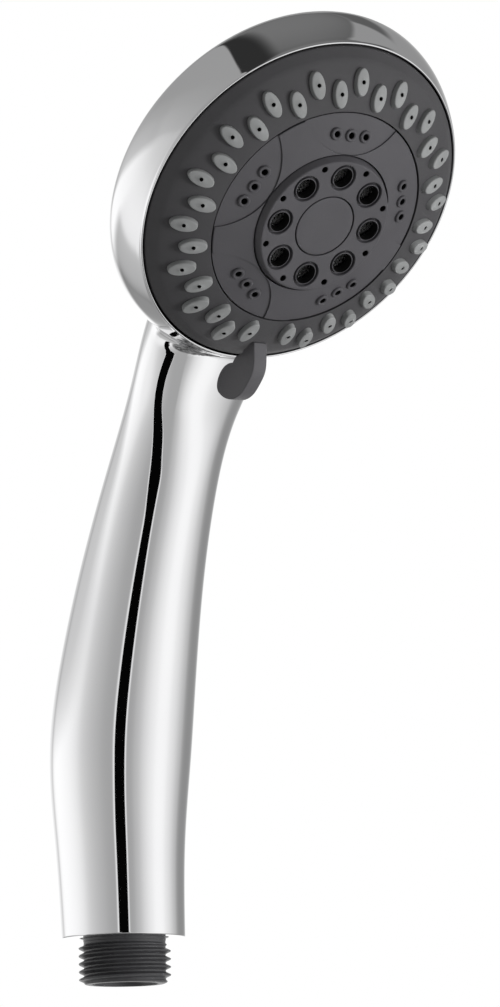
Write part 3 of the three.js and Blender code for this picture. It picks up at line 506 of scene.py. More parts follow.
def lathe(outline, segments):
    """A closed outline of (radius, height) turned round the axis."""
    points, faces, rings = [], [], []
    for r, h in outline:
        if r < 1e-6:
            rings.append([len(points)])
            points.append((0, 0, h))
        else:
            rings.append(list(range(len(points), len(points) + segments)))
            for k in range(segments):
                angle = 2 * math.pi * k / segments
                points.append((r * math.cos(angle), r * math.sin(angle), h))
    pairs = list(zip(rings, rings[1:]))
    if len(rings[0]) > 1 or len(rings[-1]) > 1:
        pairs.append((rings[-1], rings[0]))
    for a, b in pairs:
        for k in range(segments if len(a) + len(b) > 2 else 0):
            j = (k + 1) % segments
            corners = (a[k % len(a)], a[j % len(a)], b[j % len(b)], b[k % len(b)])
            faces.append(list(dict.fromkeys(corners)))
    return np.array(points, float), faces


def bands(count, sides, closed=False):
    """The quads between a number of rings of points, one ring after the other."""
    faces = []
    for k in range(count if closed else count - 1):
        here, there = k * sides, (k + 1) % count * sides
        for i in range(sides):
            j = (i + 1) % sides
            faces.append([here + i, here + j, there + j, there + i])
    return faces


def column(outline, low, high):
    """A closed prism over an outline of (x, y)."""
    n = len(outline)
    points = np.concatenate([np.column_stack([outline, np.full(n, z)]) for z in (low, high)])
    return points, [list(range(n))[::-1], list(range(n, 2 * n)), *bands(2, n)]


def ellipse(a, b, segments, centre_x=0.0):
    turns = [2 * math.pi * k / segments for k in range(segments)]
    return [(centre_x + a * math.cos(turn), b * math.sin(turn)) for turn in turns]


def circle(radius, segments, centre_x=0.0):
    return ellipse(radius, radius, segments, centre_x)


def applied(piece):
    """The piece with its modifiers made part of its mesh."""
    graph = bpy.context.evaluated_depsgraph_get()
    mesh = bpy.data.meshes.new_from_object(piece.evaluated_get(graph))
    old = piece.data
    piece.modifiers.clear()
    piece.data = mesh
    mesh.name = piece.name
    bpy.data.meshes.remove(old)
    return piece


def combine(piece, tool, operation="DIFFERENCE"):
    change = piece.modifiers.new("change", "BOOLEAN")
    change.solver, change.operation, change.object = "EXACT", operation, tool
    applied(piece)
    bpy.data.objects.remove(tool)


def carve(piece, parts, operation="DIFFERENCE"):
    """Cuts parts that don't touch each other from the piece, or joins them to it."""
    tool = make_object("tool", *merged(parts), piece.data.materials[0], in_head=True)
    combine(piece, tool, operation)


def joined(piece, other):
    """Both meshes in one object, their materials kept."""
    bm = bmesh.new()
    bm.from_mesh(piece.data)
    bm.from_mesh(other.data)
    bm.to_mesh(piece.data)
    bm.free()
    mesh = other.data
    bpy.data.objects.remove(other)
    bpy.data.meshes.remove(mesh)


def shade(piece, angle=32, weighted=True):
    piece.data.shade_smooth()
    piece.data.set_sharp_from_angle(angle=math.radians(angle))
    if weighted:
        even = piece.modifiers.new("even", "WEIGHTED_NORMAL")
        even.keep_sharp = True
        applied(piece)
    return piece


# ---------------------------------------------------------------- materials


def put(tree, value, socket):
    """Links a socket to an input, or sets the input to a number."""
    if isinstance(value, bpy.types.NodeSocket):
        tree.links.new(value, socket)
    else:
        socket.default_value = value


class Nodes:
    """A short way to write node trees: apart from add, every method returns an output socket."""

    def __init__(self, tree):
        self.tree = tree

    def add(self, kind, **inputs):
        node = self.tree.nodes.new(kind)
        for key, value in inputs.items():
            put(self.tree, value, node.inputs[key])
        return node

    def math(self, operation, *values):
        node = self.tree.nodes.new("ShaderNodeMath")
        node.operation = operation
        for socket, value in zip(node.inputs, values):
            put(self.tree, value, socket)
        return node.outputs[0]

    def link(self, value, socket):
        self.tree.links.new(value, socket)

    def times(self, first, *others):
        for other in others:
            first = self.math("MULTIPLY", first, other)
        return first

    def minus(self, a, b):
        return self.math("SUBTRACT", a, b)

    def noise(self, vector, scale, detail=2.0, roughness=0.5):
        inputs = {"Vector": vector, "Scale": scale, "Detail": detail, "Roughness": roughness}
        return self.add("ShaderNodeTexNoise", **inputs).outputs["Fac"]

    def between(self, value, low, high, to_low=0.0, to_high=1.0, smooth=True):
        node = self.tree.nodes.new("ShaderNodeMapRange")
        node.interpolation_type = "SMOOTHSTEP" if smooth else "LINEAR"
        names = ("Value", "From Min", "From Max", "To Min", "To Max")
        for name, number in zip(names, (value, low, high, to_low, to_high)):
            put(self.tree, number, node.inputs[name])
        return node.outputs["Result"]

    def mix(self, factor, a, b):
        node = self.tree.nodes.new("ShaderNodeMix")
        node.data_type = "FLOAT"
        for slot, number in ((0, factor), (2, a), (3, b)):
            put(self.tree, number, node.inputs[slot])
        return node.outputs[0]

    def curve(self, value, points):
        node = self.tree.nodes.new("ShaderNodeFloatCurve")
        self.tree.links.new(value, node.inputs["Value"])
        line = node.mapping.curves[0]
        while len(line.points) < len(points):
            line.points.new(0.5, 0.5)
        for point, (x, y) in zip(line.points, points):
            point.location = (x, y)
            point.handle_type = "AUTO_CLAMPED"
        node.mapping.update()
        return node.outputs[0]


def colour_steps(n, factor, low, high):
    """A colour that runs from low to high with the factor."""
    ramp = n.tree.nodes.new("ShaderNodeValToRGB")
    n.link(factor, ramp.inputs["Fac"])
    for element, colour, place in zip(ramp.color_ramp.elements, (low, high), (0.3, 0.7)):
        element.position = place
        element.color = (*colour, 1)
    return ramp.outputs["Color"]


def new_material(name):
    material = bpy.data.materials.new(name)
    material.use_nodes = True
    tree = material.node_tree
    shader = tree.nodes["Principled BSDF"]
    place = tree.nodes.new("ShaderNodeTexCoord").outputs["Object"]
    return material, Nodes(tree), shader, place


def moulded(name, colour, roughness, grain=0.28, depth=0.02, spread=0.06, specular=0.5, metallic=0.0):
    """A moulded or rolled surface: slow mottling of its colour, and a fine grain of `grain` mm."""
    material, n, shader, place = new_material(name)
    slow = n.noise(place, 1 / (9 * MM), 3.0)
    low = tuple(c * (1 - spread) for c in colour)
    high = tuple(c * (1 + spread) for c in colour)
    n.link(colour_steps(n, slow, low, high), shader.inputs["Base Color"])
    fine = n.noise(place, 1 / (grain * MM), 3.0, 0.6)
    uneven = n.between(fine, 0.3, 0.7, roughness - 0.05, roughness + 0.05)
    n.link(uneven, shader.inputs["Roughness"])
    bump = n.add("ShaderNodeBump", Strength=1.0, Distance=depth * MM, Height=fine)
    n.link(bump.outputs["Normal"], shader.inputs["Normal"])
    shader.inputs["Specular IOR Level"].default_value = specular
    shader.inputs["Metallic"].default_value = metallic
    return material


def plated(name):
    """Bright chrome: a hair of colour drift and a barely uneven polish."""
    material, n, shader, place = new_material(name)
    slow = n.noise(place, 1 / (22 * MM), 2.0)
    tint = colour_steps(n, slow, (0.905, 0.905, 0.915), (0.925, 0.925, 0.93))
    n.link(tint, shader.inputs["Base Color"])
    fine = n.noise(place, 1 / (5 * MM), 3.0)
    n.link(n.between(fine, 0.3, 0.7, 0.025, 0.045), shader.inputs["Roughness"])
    shader.inputs["Metallic"].default_value = 1.0
    return material


CHROME = plated("chrome_plate")
RING = moulded("ring_plastic", (0.05, 0.049, 0.052), 0.5)
DISC = moulded("disc_plastic", (0.066, 0.064, 0.07), 0.46)
SILICONE = moulded("silicone", (0.245, 0.25, 0.25), 0.55, grain=0.35, spread=0.08, specular=0.4)
DARK = moulded("charcoal_plastic", (0.052, 0.052, 0.055), 0.32, grain=0.5)
LEVER = moulded("lever_plastic", (0.09, 0.088, 0.094), 0.48)
# Near-black painted shade for the inner walls and floors of outlets and holes, standing in for the shade that
# falls deep inside them
BORE_SHADE = moulded("painted_bore_shade", (0.006, 0.006, 0.006), 0.7, specular=0.2)
INNER = moulded("natural_plastic", (0.68, 0.68, 0.65), 0.5)
ACETAL = moulded("acetal", (0.84, 0.83, 0.8), 0.32, grain=0.5, depth=0.01)
RUBBER = moulded("rubber", (0.013, 0.013, 0.014), 0.75, grain=0.2)
STEEL = moulded("steel", (0.52, 0.53, 0.55), 0.3, grain=0.25, depth=0.01, metallic=1.0)
WIRE = moulded("screen_wire", (0.6, 0.6, 0.6), 0.25, grain=0.2, depth=0.005, metallic=1.0)

# ---------------------------------------------------------------- pieces


def face_out(radius):
    """How far the front of the ring and the disc stands out: a cone that rounds off outwards."""
    across = radius - BOSS_BASE_R
    rounding = (across / (RING_CHAMFER_R - BOSS_BASE_R)) ** 4
    return FACE_OUT - FACE_SLOPE * across - FACE_ROUNDING * rounding


def face_lean(radius):
    return math.atan((face_out(radius - 0.1) - face_out(radius + 0.1)) / 0.2)


def face_line(start, end, drop=0.0, count=9):
    return [(r, face_out(r) - drop, 0) for r in np.linspace(start, end, count)]


def dressed(piece, node, body="spray_face"):
    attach(piece, body)
    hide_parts(node)
    return piece


def chrome_body():
    points, faces, normals = body_mesh(NET_STEP)
    piece = make_object("handset_body", points, faces, CHROME)
    piece.data.shade_smooth()
    piece.data.normals_split_custom_set_from_vertices(normals.tolist())
    return dressed(piece, "body_shell", "handset")


def face_ring():
    shoulder = RING_R - 2
    edge = JOINT_R + 0.05
    outline = rounded([
        (RING_R, -SKIRT_DEPTH, 0), (RING_R, 0, 0.3), (RING_CHAMFER_R, face_out(RING_CHAMFER_R), 0.9),
        *face_line(RING_CHAMFER_R, edge)[1:-1], (edge, face_out(edge), 0.18),
        *face_line(edge, shoulder, RING_THICKNESS), (shoulder, -SKIRT_DEPTH, 0),
    ])
    piece = make_object("face_ring", *lathe(outline, FACE_SEGMENTS), RING, in_head=True)
    cuts = []
    shape = ellipse(NOZZLE_LENGTH / 2 + 0.16, NOZZLE_WIDTH / 2 + 0.16, 40)
    for radius, top, angles in (OUTER_ROW, INNER_ROW):
        low, high = column(shape, -7, 4)
        cuts += [turned((low, high), a, radius, face_lean(radius), top) for a in angles]
    half = LEVER_THICKNESS / 2 + 0.2
    slot = [(-half, -LEVER_SLOT_END), (-half, -45), (half, -45), (half, -LEVER_SLOT_END)]
    cuts.append(column(slot[::-1], LEVER_SLOT_FLOOR, 12))
    carve(piece, cuts)
    return dressed(shade(piece), "outer_ring")


def nozzle(foot):
    """One rain nozzle: an oval post with softened edges and a round outlet, top at height 0."""
    a, b, n = NOZZLE_LENGTH / 2, NOZZLE_WIDTH / 2, 48
    soft, crown = 0.32, 0.12
    sections = [(-0.12, foot), (-0.1, -1.2)]
    for k in range(6):
        turn = math.pi / 2 * k / 5
        sections.append((soft * (1 - math.cos(turn)), -crown - soft + soft * math.sin(turn)))
    rings = []
    for inset, height in sections:
        rings.append([(x, y, height) for x, y in ellipse(a - inset, b - inset, n)])
    rings.append([(x, y, -0.05) for x, y in ellipse(0.6 * a, 0.6 * b, n)])
    for wider, h in ((0.16, 0.0), (0.08, 0.05), (0, -0.06), (0, -2.4)):
        rings.append([(x, y, h) for x, y in circle(NOZZLE_HOLE_R + wider, n)])
    points = [p for ring in rings for p in ring]
    faces = bands(len(rings), n)
    faces.append([(len(rings) - 1) * n + i for i in range(n)])
    faces.append(list(range(n))[::-1])
    return np.array(points, float), faces


def rain_nozzles():
    parts = []
    for radius, top, angles in (OUTER_ROW, INNER_ROW):
        post = nozzle(face_out(radius) - RING_THICKNESS - 0.5 - top)
        parts += [turned(post, a, radius, face_lean(radius), top) for a in angles]
    drop = RING_THICKNESS + GAP
    mat = rounded(face_line(MAT_INNER_R, MAT_R, drop + MAT_THICKNESS) + face_line(MAT_R, MAT_INNER_R, drop))
    parts.append(lathe(mat, 144))
    piece = make_object("rain_nozzles", *merged(parts), [SILICONE, BORE_SHADE], in_head=True)
    shade(piece, weighted=False)
    rings, segments, posts = 13, 48, len(OUTER_ROW[2]) + len(INNER_ROW[2])
    # The last two rings of each post (the outlet's inner wall and its end) get the painted bore shade
    for polygon in piece.data.polygons:
        ring = {v % (rings * segments) // segments for v in polygon.vertices}
        if polygon.vertices[0] < posts * rings * segments and min(ring) >= rings - 2:
            polygon.material_index = 1
    return dressed(piece, "rain_nozzle_mat")


def lever():
    """The selector's fin: a flat side outline with softened edges."""
    start = (LEVER_SLOT_END + GAP, face_out(LEVER_SLOT_END + GAP) + 0.6)
    legs = [
        [start, (38.5, 8.9), (38.5, 8.9), (43.2, 8)],
        [(43.2, 8), (47.8, 7.2), (49.8, 2.8), (49.3, -0.4)],
        [(49.3, -0.4), (48.9, -2.6), (45.6, -3.0), (43.4, -1.9)],
        [(43.4, -1.9), (42.4, -1.4), (41.6, -0.6), (41.1, 0.4)],
    ]
    outline = []
    for p0, p1, p2, p3 in legs:
        for k in range(14):
            t = k / 14
            weights = ((1 - t) ** 3, 3 * t * (1 - t) ** 2, 3 * t * t * (1 - t), t**3)
            outline.append(tuple(np.array(weights) @ np.array([p0, p1, p2, p3])))
    foot = LEVER_SLOT_FLOOR + GAP
    outline += [(41.1, 0.4), (39.3, 0.7), (37.2, foot), (LEVER_SLOT_END + GAP, foot)]
    curve = bpy.data.curves.new("lever", "CURVE")
    curve.dimensions, curve.fill_mode = "2D", "BOTH"
    spline = curve.splines.new("POLY")
    spline.points.add(len(outline) - 1)
    for point, (x, y) in zip(spline.points, outline):
        point.co = (x, y, 0, 1)
    spline.use_cyclic_u = True
    soft = 0.35
    curve.extrude, curve.offset = LEVER_THICKNESS / 2 - soft, -soft
    curve.bevel_depth, curve.bevel_resolution = soft, 3
    holder = bpy.data.objects.new("lever_curve", curve)
    bpy.context.scene.collection.objects.link(holder)
    graph = bpy.context.evaluated_depsgraph_get()
    mesh = bpy.data.meshes.new_from_object(holder.evaluated_get(graph))
    bpy.data.objects.remove(holder)
    local = np.array([v.co for v in mesh.vertices], float)
    points = np.stack([-local[:, 2], -local[:, 0], local[:, 1]], -1)
    faces = [list(p.vertices) for p in mesh.polygons]
    piece = make_object("selector_lever_fin", points, faces, LEVER, in_head=True)
    bm = bmesh.new()
    bm.from_mesh(piece.data)
    bmesh.ops.remove_doubles(bm, verts=bm.verts, dist=0.005 * MM)
    bmesh.ops.recalc_face_normals(bm, faces=bm.faces)
    bm.to_mesh(piece.data)
    bm.free()
    piece.visible_glossy = False
    return dressed(shade(piece), "selector_lever")


def face_disc():
    inner = BOSS_BASE_R + GAP
    outline = rounded([
        *face_line(inner, DISC_R, DISC_THICKNESS), (DISC_R, face_out(DISC_R), 0.18),
        *face_line(DISC_R, inner)[1:-1], (inner, face_out(inner), 0.1),
    ])
    piece = make_object("face_disc", *lathe(outline, FACE_SEGMENTS), [DISC, BORE_SHADE], in_head=True)
    # lens fields: a shallow sunk floor that follows the disc's slope
    lens = circle(FIELD_ARC_R, 120, FIELD_ARC_CENTRE_R)
    floor = [(r, h) for r, h, _ in face_line(DISC_R + 1, BOSS_BASE_R, FIELD_DEPTH)]
    floor += [(BOSS_BASE_R, 13), (DISC_R + 1, 13)]
    above = make_object("above", *lathe(floor, FACE_SEGMENTS), DISC, in_head=True)
    carve(above, [turned(column(lens, 4, 14), a) for a in FIELD_ANGLES], "INTERSECT")
    combine(piece, above)
    spots = [(a, offset) for a in FIELD_ANGLES for offset in (-JET_SPACING, 0, JET_SPACING)]
    reach = JET_R - 0.35

    def around(part):
        points, faces = part
        standing = turned((points, faces), 0, JET_ROW_R, face_lean(JET_ROW_R), JET_TOP)
        return [turned((standing[0] + [0, offset, 0], faces), a) for a, offset in spots]

    carve(piece, around(column(circle(reach, 28), -5, 4)))
    foot, well = -1.3, -2.7
    jet = rounded([
        (reach + 0.05, foot, 0), (JET_R + 0.1, foot, 0), (JET_R, -0.25, 0.05), (JET_R - 0.2, 0, 0.14),
        (JET_HOLE_R + 0.16, -0.02, 0.1), (JET_HOLE_R, -0.2, 0.05), (JET_HOLE_R, well, 0),
        (reach + 0.05, well, 0),
    ], 3)
    points, faces = merged(around(lathe(jet, 36)))
    rims = make_object("jets", points, faces, [DISC, BORE_SHADE], in_head=True)
    shade(rims)
    count = len(faces) // len(spots) // 36
    # The last bands of each jet (its outlet's wall and floor) get the painted bore shade
    for polygon in rims.data.polygons:
        if polygon.index // 36 % count >= count - 3:
            polygon.material_index = 1
    shade(piece)
    joined(piece, rims)
    return dressed(piece, "inner_disc")


def boss():
    back, bore = BOSS_TOP_OUT - BOSS_PLATE, CAP_SPIGOT_R + GAP
    outline = rounded([
        (bore, CHAMBER_FLOOR, 0), (BOSS_SLEEVE_R, CHAMBER_FLOOR, 0), (BOSS_SLEEVE_R, back, 0),
        (BOSS_SKIRT_R, back, 0),
        (BOSS_SKIRT_R, CHAMBER_FLOOR, 0), (BOSS_BASE_R, CHAMBER_FLOOR, 0),
        (BOSS_BASE_R, FACE_OUT - 0.3, 0), (BOSS_BASE_R - 0.15, FACE_OUT, 0.1),
        (BOSS_TOP_R, BOSS_TOP_OUT, 0.35), (CAP_R + GAP, BOSS_TOP_OUT, 0.12),
        (CAP_R + GAP, BOSS_TOP_OUT - CAP_RECESS, 0), (bore, BOSS_TOP_OUT - CAP_RECESS, 0),
    ])
    piece = make_object("face_boss", *lathe(outline, 180), [DISC, BORE_SHADE], in_head=True)
    floor, lip = BOSS_TOP_OUT - AERATED_RECESS, BOSS_TOP_OUT - 0.12
    recess = rounded([
        (0, floor, 0), (AERATED_RECESS_R - 0.1, floor, 0.15), (AERATED_RECESS_R, BOSS_TOP_OUT - 0.12, 0),
        (AERATED_RECESS_R + 0.14, BOSS_TOP_OUT + 0.02, 0), (AERATED_RECESS_R + 0.2, 14, 0), (0, 14, 0),
    ])
    sleeve = rounded([
        (0, floor - 0.6, 0), (SLEEVE_R + 0.1, floor - 0.6, 0), (SLEEVE_R, lip - 0.08, 0.06),
        (SLEEVE_R - 0.08, lip, 0.06), (0, lip, 0),
    ])

    def around(part, radius, angles):
        points, faces = part
        return [turned((points + [radius, 0, 0], faces), a) for a in angles]

    carve(piece, around(lathe(recess, 48), AERATED_RING_R, AERATED_ANGLES))
    carve(piece, around(lathe(sleeve, 48), AERATED_RING_R, AERATED_ANGLES), "UNION")
    carve(piece, around(column(circle(AERATED_HOLE_R, 48), 0, 14), AERATED_RING_R, AERATED_ANGLES))
    mist_angles = [a + 22.5 for a in AERATED_ANGLES]
    mist = lathe(rounded([
        (0, 3, 0), (MIST_HOLE_R, 3, 0), (MIST_HOLE_R, BOSS_TOP_OUT - 0.12, 0),
        (MIST_HOLE_R + 0.16, BOSS_TOP_OUT + 0.04, 0), (MIST_HOLE_R + 0.16, 14, 0), (0, 14, 0),
    ]), 28)
    carve(piece, around(mist, MIST_RING_R, mist_angles))
    shade(piece)
    # Faces inside the aerated and mist holes, below their tops, get the painted bore shade
    heads = to_head(np.array([f.center for f in piece.data.polygons]) / MM)
    wells = [(AERATED_RING_R, a, AERATED_HOLE_R * 1.01, lip - 0.1) for a in AERATED_ANGLES]
    wells += [(MIST_RING_R, a, MIST_HOLE_R * 1.04, BOSS_TOP_OUT - 0.15) for a in mist_angles]
    for polygon, place in zip(piece.data.polygons, heads):
        for radius, a, reach, top in wells:
            x, y = radius * math.cos(math.radians(a)), radius * math.sin(math.radians(a))
            if place[2] < top and math.hypot(place[0] - x, place[1] - y) < reach:
                polygon.material_index = 1
    return dressed(piece, "centre_boss")


def cap():
    under = BOSS_TOP_OUT - CAP_RECESS + GAP
    crown = [(CAP_R * k / 6, BOSS_TOP_OUT, 0) for k in (5, 4, 3, 2, 1)]
    outline = rounded([
        (0, under, 0), (CAP_SPIGOT_BORE_R, under, 0), (CAP_SPIGOT_BORE_R, CAP_SPIGOT_END, 0),
        (CAP_SPIGOT_R, CAP_SPIGOT_END, 0.2), (CAP_SPIGOT_R, under, 0), (CAP_R, under, 0),
        (CAP_R, BOSS_TOP_OUT, 0.22), *crown, (0, BOSS_TOP_OUT, 0),
    ])
    piece = make_object("face_cap", *lathe(outline, 120), DISC, in_head=True)
    return dressed(shade(piece), "centre_cap")


def tube_along(path, radius, sides):
    """A closed wire along a path of points."""
    p = np.array(path, float)
    t = np.gradient(p, axis=0)
    t /= np.linalg.norm(t, axis=1, keepdims=True)
    up = np.array([0, 0, 1.0])
    side = np.cross(up, t)
    side /= np.linalg.norm(side, axis=1, keepdims=True)
    lift = np.cross(t, side)
    points = []
    for k in range(len(p)):
        for i in range(sides):
            a = 2 * math.pi * i / sides
            points.append(p[k] + radius * (math.cos(a) * side[k] + math.sin(a) * lift[k]))
    ends = [list(range(sides))[::-1], list(range((len(p) - 1) * sides, len(p) * sides))]
    return np.array(points), ends + bands(len(p), sides)


def screen():
    """Woven wire behind each aerated jet, held by a flat ring."""
    pitch, wire_r, reach = 0.56, 0.1, 2.75
    count = int(reach / pitch)
    low, high = SCREEN_OUT - 0.2, SCREEN_OUT - 0.14
    parts = [lathe([(SCREEN_R[0], low), (SCREEN_R[1], low), (SCREEN_R[1], high), (SCREEN_R[0], high)], 120)]
    for a in AERATED_ANGLES:
        centre = AERATED_RING_R * np.array([math.cos(math.radians(a)), math.sin(math.radians(a))])
        for direction in (0, 1):
            for k in range(-count, count + 1):
                across = k * pitch
                half = math.sqrt(reach**2 - across**2)
                along = np.linspace(-half, half, max(8, int(8 * half / pitch)))
                phase = 1 if (k + direction) % 2 else -1
                height = SCREEN_OUT + 0.06 + phase * 0.09 * np.cos(np.pi * along / pitch)
                still = np.full_like(along, across)
                u, v = (still, along) if direction else (along, still)
                x, y = (u - v) * math.sqrt(0.5), (u + v) * math.sqrt(0.5)
                parts.append(tube_along(np.stack([centre[0] + x, centre[1] + y, height], -1), wire_r, 5))
    piece = make_object("aerator_mesh", *merged(parts), WIRE, in_head=True)
    return dressed(shade(piece, weighted=False), "aerator_screen")


def connector():
    """The inlet: a round-crested G 1/2 thread below a plain neck, collar and socket."""
    segments, step = 128, 0.1
    rings, count = [], int(round((THREAD_LENGTH + 0.3) / step))
    for k in range(count + 1):
        z = k * step
        ring = []
        edge = min(1.0, z / 0.45)
        edge_r = 0.5 * (1 - math.sqrt(max(0.0, 1 - (1 - edge) ** 2)))
        for i in range(segments):
            turn = i / segments
            phase = ((z - THREAD_START) / THREAD_PITCH - turn) % 1
            crest = abs(2 * phase - 1)
            flank = min(1.0, max(0.0, 1.45 * crest - 0.27))
            flank = flank * flank * (3 - 2 * flank) * 0.35 + flank * 0.65
            fade = min(1.0, max(0.0, (z - 0.1) / 0.9))
            fade *= min(1.0, max(0.0, (THREAD_LENGTH - 0.25 - z) / 0.8))
            r = THREAD_MINOR_R + (THREAD_MAJOR_R - THREAD_MINOR_R) * flank * fade - edge_r
            ring.append((r * math.cos(2 * math.pi * turn), r * math.sin(2 * math.pi * turn), z))
        rings.append(ring)
    top = rings[-1][0][2]
    rest = rounded([
        (PIPE_R, top + 0.1, 0), (PIPE_R, HANDLE_END, 0), (CONNECTOR_R, HANDLE_END + GAP, 0),
        (CONNECTOR_R, GROOVE_LOW, 0), (GROOVE_R, GROOVE_LOW, 0), (GROOVE_R, GROOVE_HIGH, 0),
        (CONNECTOR_R, GROOVE_HIGH, 0), (CONNECTOR_R, CONNECTOR_TOP, 0.4), (TUBE_SOCKET_R, CONNECTOR_TOP, 0),
        (TUBE_SOCKET_R, TUBE_SOCKET_TOP, 0.3), (TUBE_BORE_R, TUBE_SOCKET_TOP, 0), (TUBE_BORE_R, SEAT_HIGH, 0),
        (SEAT_R, SEAT_HIGH, 0), (SEAT_R, SEAT_LOW, 0), (INLET_BORE_R, SEAT_LOW, 0), (INLET_BORE_R, 0.5, 0),
        (INLET_BORE_R + 0.4, 0.0, 0),
    ], 3)
    rings += [[(x, y, h) for x, y in circle(r, segments)] for r, h in rest]
    faces = bands(len(rings), segments, closed=True)
    piece = make_object("inlet_thread_body", [p for ring in rings for p in ring], faces, DARK)
    return dressed(shade(piece, 40, weighted=False), "inlet_connector", "handset")


chrome_body()
face_ring()
rain_nozzles()
lever()
face_disc()
boss()
cap()
screen()
connector()

SCREWS = [f"base_screw_{i}" for i in range(1, 5)] + ["pivot_screw", "pivot_washer"]
SPRINGS = ["check_valve_spring", "port_seal_spring", "detent_spring"]
ACETAL_NODES = ["flow_restrictor", "check_valve_cage", "check_valve_poppet", "detent_plunger"]
ACETAL_NODES += ["port_plate", "massage_turbine"]
INSIDE = [
    (STEEL, ["inlet_filter", *SPRINGS, *SCREWS]),
    (ACETAL, ACETAL_NODES),
    (RUBBER, ["check_valve_seal", "connector_o_ring", "port_seal", "pivot_o_ring"]),
    (INNER, ["waterway_tube", "valve_base", "channel_plate"]),
]
for finish, names in INSIDE:
    for node_name in names:
        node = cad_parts[node_name]
        node.data.materials.clear()
        node.data.materials.append(finish)


# ---------------------------------------------------------------- studio

FLOOR_TOP, FLOOR_THICKNESS, FLOOR_R = -220, 6, 1700
FLOOR_GLOW = 0.42


def studio_world():
    """A white studio with a narrow black board beside the camera, a dark ceiling board
    and grey gaps between its soft boxes.  Brightness is by compass angle and elevation."""
    world = bpy.data.worlds.new("studio")
    bpy.context.scene.world = world
    world.use_nodes = True
    n = Nodes(world.node_tree)
    out = world.node_tree.nodes["Background"]
    direction = n.tree.nodes.new("ShaderNodeTexCoord").outputs["Generated"]
    split = n.add("ShaderNodeSeparateXYZ", Vector=direction)
    x, y, z = split.outputs
    round_about = n.times(n.math("ARCTAN2", x, n.times(y, -1.0)), 180 / math.pi)
    height = n.math("MINIMUM", n.math("MAXIMUM", z, -1.0), 1.0)
    height = n.times(n.math("ARCSINE", height), 180 / math.pi)

    def by_angle(value, points, half=180):
        """A smooth curve through points of (degrees, 0 to 255) from -half to half degrees."""
        part = n.between(value, -half, half, smooth=False)
        return n.curve(part, [((a + half) / (2 * half), v / 255) for a, v in points])

    # walls: brightness all the way round at the height of the object
    shift = by_angle(height, [
        (-90, 80), (-56, 62), (-50, 54), (-42, 47), (-34, 40), (-27, 37), (-20, 39), (-13, 42), (90, 42),
    ], 90)
    shift = n.minus(n.times(shift, 255.0), 42.0)
    right_side = n.between(round_about, -34, -26)
    moved = n.math("ADD", round_about, n.times(shift, right_side))
    moved = n.math("MINIMUM", moved, 180.0)
    walls = by_angle(moved, [
        (-180, 205), (-161, 254), (-140, 250), (-118, 237), (-93, 199), (-70, 175), (-50, 160), (-23, 159),
        (-7, 179), (9, 215), (21, 234), (36, 246), (54, 229), (78, 182), (101, 138), (112, 140),
        (135, 220), (150, 252), (165, 240), (180, 205),
    ])
    fade = by_angle(height, [(-90, 150), (-66, 165), (-58, 255), (90, 255)], 90)
    low = by_angle(round_about, [
        (-180, 168), (-150, 186), (-137, 238), (-100, 255), (150, 255), (168, 150), (180, 160),
    ])
    high = by_angle(round_about, [(-180, 228), (-110, 228), (-90, 255), (180, 255)])
    walls = n.times(walls, fade, n.mix(n.between(height, -6, -16), 1.0, low))
    walls = n.times(walls, n.mix(n.between(height, 3, 9), 1.0, high))
    upper = n.mix(n.between(round_about, 20, 60), 150 / 255, 142 / 255)
    rise = by_angle(height, [
        (-90, 0), (4, 0), (7, 12), (11, 95), (20, 150), (30, 212), (45, 255), (90, 255),
    ], 90)
    bright = n.mix(rise, walls, upper)

    # ceiling: one dark wedge and a mid-grey board, with straight edges
    def plane(a, b, c, soft, far):
        total = n.math("ADD", n.math("ADD", n.times(x, a), n.times(y, b)), n.times(z, c))
        return n.between(n.minus(total, far), -soft, soft)

    past_wedge = n.minus(1.0, plane(-0.819, 0.428, -0.382, 0.012, -0.04))
    past_dark = n.minus(1.0, plane(-0.957, 0.172, -0.236, 0.09, -0.08))
    grey = by_angle(height, [(-90, 90), (45, 78), (55, 98), (65, 108), (90, 112)], 90)
    ceiling = n.mix(past_dark, 48 / 255, grey)
    edge_height = by_angle(round_about, [
        (-180, 38), (-60, 38), (-20, 44), (60, 52), (90, 54), (130, 54), (180, 50),
    ])
    over_edge = n.between(n.minus(height, n.times(edge_height, 255.0)), -1.5, 1.5)
    bright = n.mix(n.times(past_wedge, over_edge), bright, ceiling)

    # a dark board high on the right
    def span(value, low, high, soft=3):
        return n.times(n.between(value, low - soft, low + soft), n.between(value, high + soft, high - soft))

    right_board = n.times(span(round_about, 96, 128), span(height, 38, 54))
    bright = n.mix(right_board, bright, 90 / 255)

    # the black board: upright beside the camera, its foot swings away to the left; the
    # curves hold 180 degrees more than the azimuth of each edge
    left_edge = by_angle(height, [
        (-90, 10), (-48, 40), (-42, 60), (-38, 80), (-35, 100), (-30, 123), (-25, 135), (-20, 143),
        (-10, 141), (0, 138), (90, 138),
    ], 90)
    right_edge = by_angle(height, [
        (-90, 40), (-52, 80), (-45, 116), (-40, 137), (-35, 148), (-30, 157), (-20, 158),
        (-12, 157), (-5, 155.5), (90, 155),
    ], 90)
    from_left = n.minus(round_about, n.minus(n.times(left_edge, 255.0), 180.0))
    from_right = n.minus(n.minus(n.times(right_edge, 255.0), 180.0), round_about)
    upright = n.times(n.between(height, -58, -52), n.between(height, 35, 20))
    glow = n.times(n.between(from_left, -5, -0.8), n.between(from_right, -4, -0.8), upright)
    board = n.times(n.between(from_left, -0.5, 0.5), n.between(from_right, -0.5, 0.5), upright)
    bright = n.mix(n.times(glow, 0.75), bright, 250 / 255)
    bright = n.mix(board, bright, 12 / 255)

    ground = n.noise(direction, 9.0, 3.0, 0.6)
    ground = n.between(ground, 0.35, 0.65, 60 / 255, 130 / 255)
    bright = n.mix(n.between(height, -60, -68), bright, ground)
    linear = n.times(n.math("POWER", bright, 2.2), 1.09)
    path = n.tree.nodes.new("ShaderNodeLightPath")
    linear = n.mix(path.outputs["Is Camera Ray"], linear, 1.0)
    n.link(linear, out.inputs["Color"])


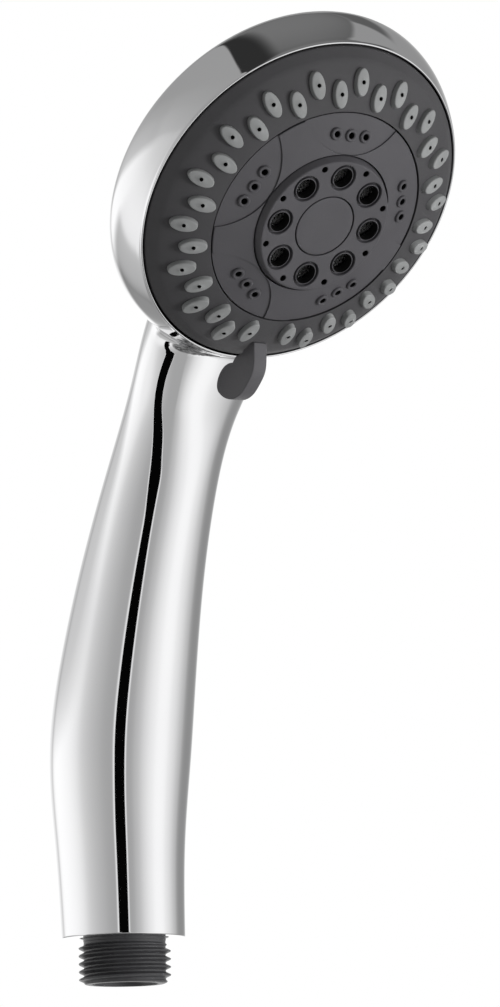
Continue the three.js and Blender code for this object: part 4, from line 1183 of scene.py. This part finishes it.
def stood(name, data, right, up, back, place):
    """A new object at a place, with its own X, Y and Z along right, up and back."""
    holder = bpy.data.objects.new(name, data)
    bpy.context.scene.collection.objects.link(holder)
    matrix = Matrix.Identity(4)
    for i, axis in enumerate((right, up, back, place)):
        for k in range(3):
            matrix[k][i] = axis[k]
    holder.matrix_world = matrix
    return holder


def area_light(name, place, target, size, power):
    light = bpy.data.lights.new(name, "AREA")
    light.shape, light.size, light.energy = "DISK", size, power
    place, target = np.array(place), np.array(target)
    look = (target - place) / np.linalg.norm(target - place)
    side = np.cross(look, [0, 0, 1.0])
    side /= np.linalg.norm(side)
    holder = stood(name, light, side, np.cross(side, look), -look, place)
    holder.visible_glossy = False


def pale_floor():
    """A pale floor below the part.  Its glow shows to the camera only and lights nothing."""
    material, n, shader, place = new_material("floor")
    tone = n.noise(place, 3.0, 2.0)
    pale = colour_steps(n, tone, (0.84, 0.84, 0.84), (0.87, 0.87, 0.87))
    n.link(pale, shader.inputs["Base Color"])
    shader.inputs["Roughness"].default_value = 0.8
    seen = n.tree.nodes.new("ShaderNodeLightPath").outputs["Is Camera Ray"]
    shader.inputs["Emission Color"].default_value = (0.96, 0.96, 0.96, 1.0)
    n.link(n.times(seen, FLOOR_GLOW), shader.inputs["Emission Strength"])
    low = FLOOR_TOP - FLOOR_THICKNESS
    outline = [(0, low), (FLOOR_R, low), (FLOOR_R, FLOOR_TOP), (0, FLOOR_TOP)]
    floor = make_object("floor", *lathe(outline, 96), material)
    floor.visible_glossy = False


def camera():
    """A view from 36 degrees to the left and 7 degrees below."""
    azimuth, elevation, roll = -0.6296, -0.127, -0.019
    flat = math.cos(elevation)
    back = np.array([math.sin(azimuth) * flat, -math.cos(azimuth) * flat, math.sin(elevation)])
    level = np.array([math.cos(azimuth), math.sin(azimuth), 0.0])
    upright = np.cross(back, level)
    right = math.cos(roll) * level + math.sin(roll) * upright
    up = -math.sin(roll) * level + math.cos(roll) * upright
    data = bpy.data.cameras.new("camera")
    data.lens, data.sensor_width, data.clip_end = 284.5, 36.0, 20.0
    place = (-1.03987, -1.47908, -0.12124)
    bpy.context.scene.camera = stood("camera", data, right, up, back, place)


studio_world()
area_light("key", place=(0.5, -0.9, -0.1), target=(0, -0.06, 0.16), size=0.35, power=9.0)
pale_floor()
camera()
bpy.context.scene.view_settings.view_transform = "Standard"
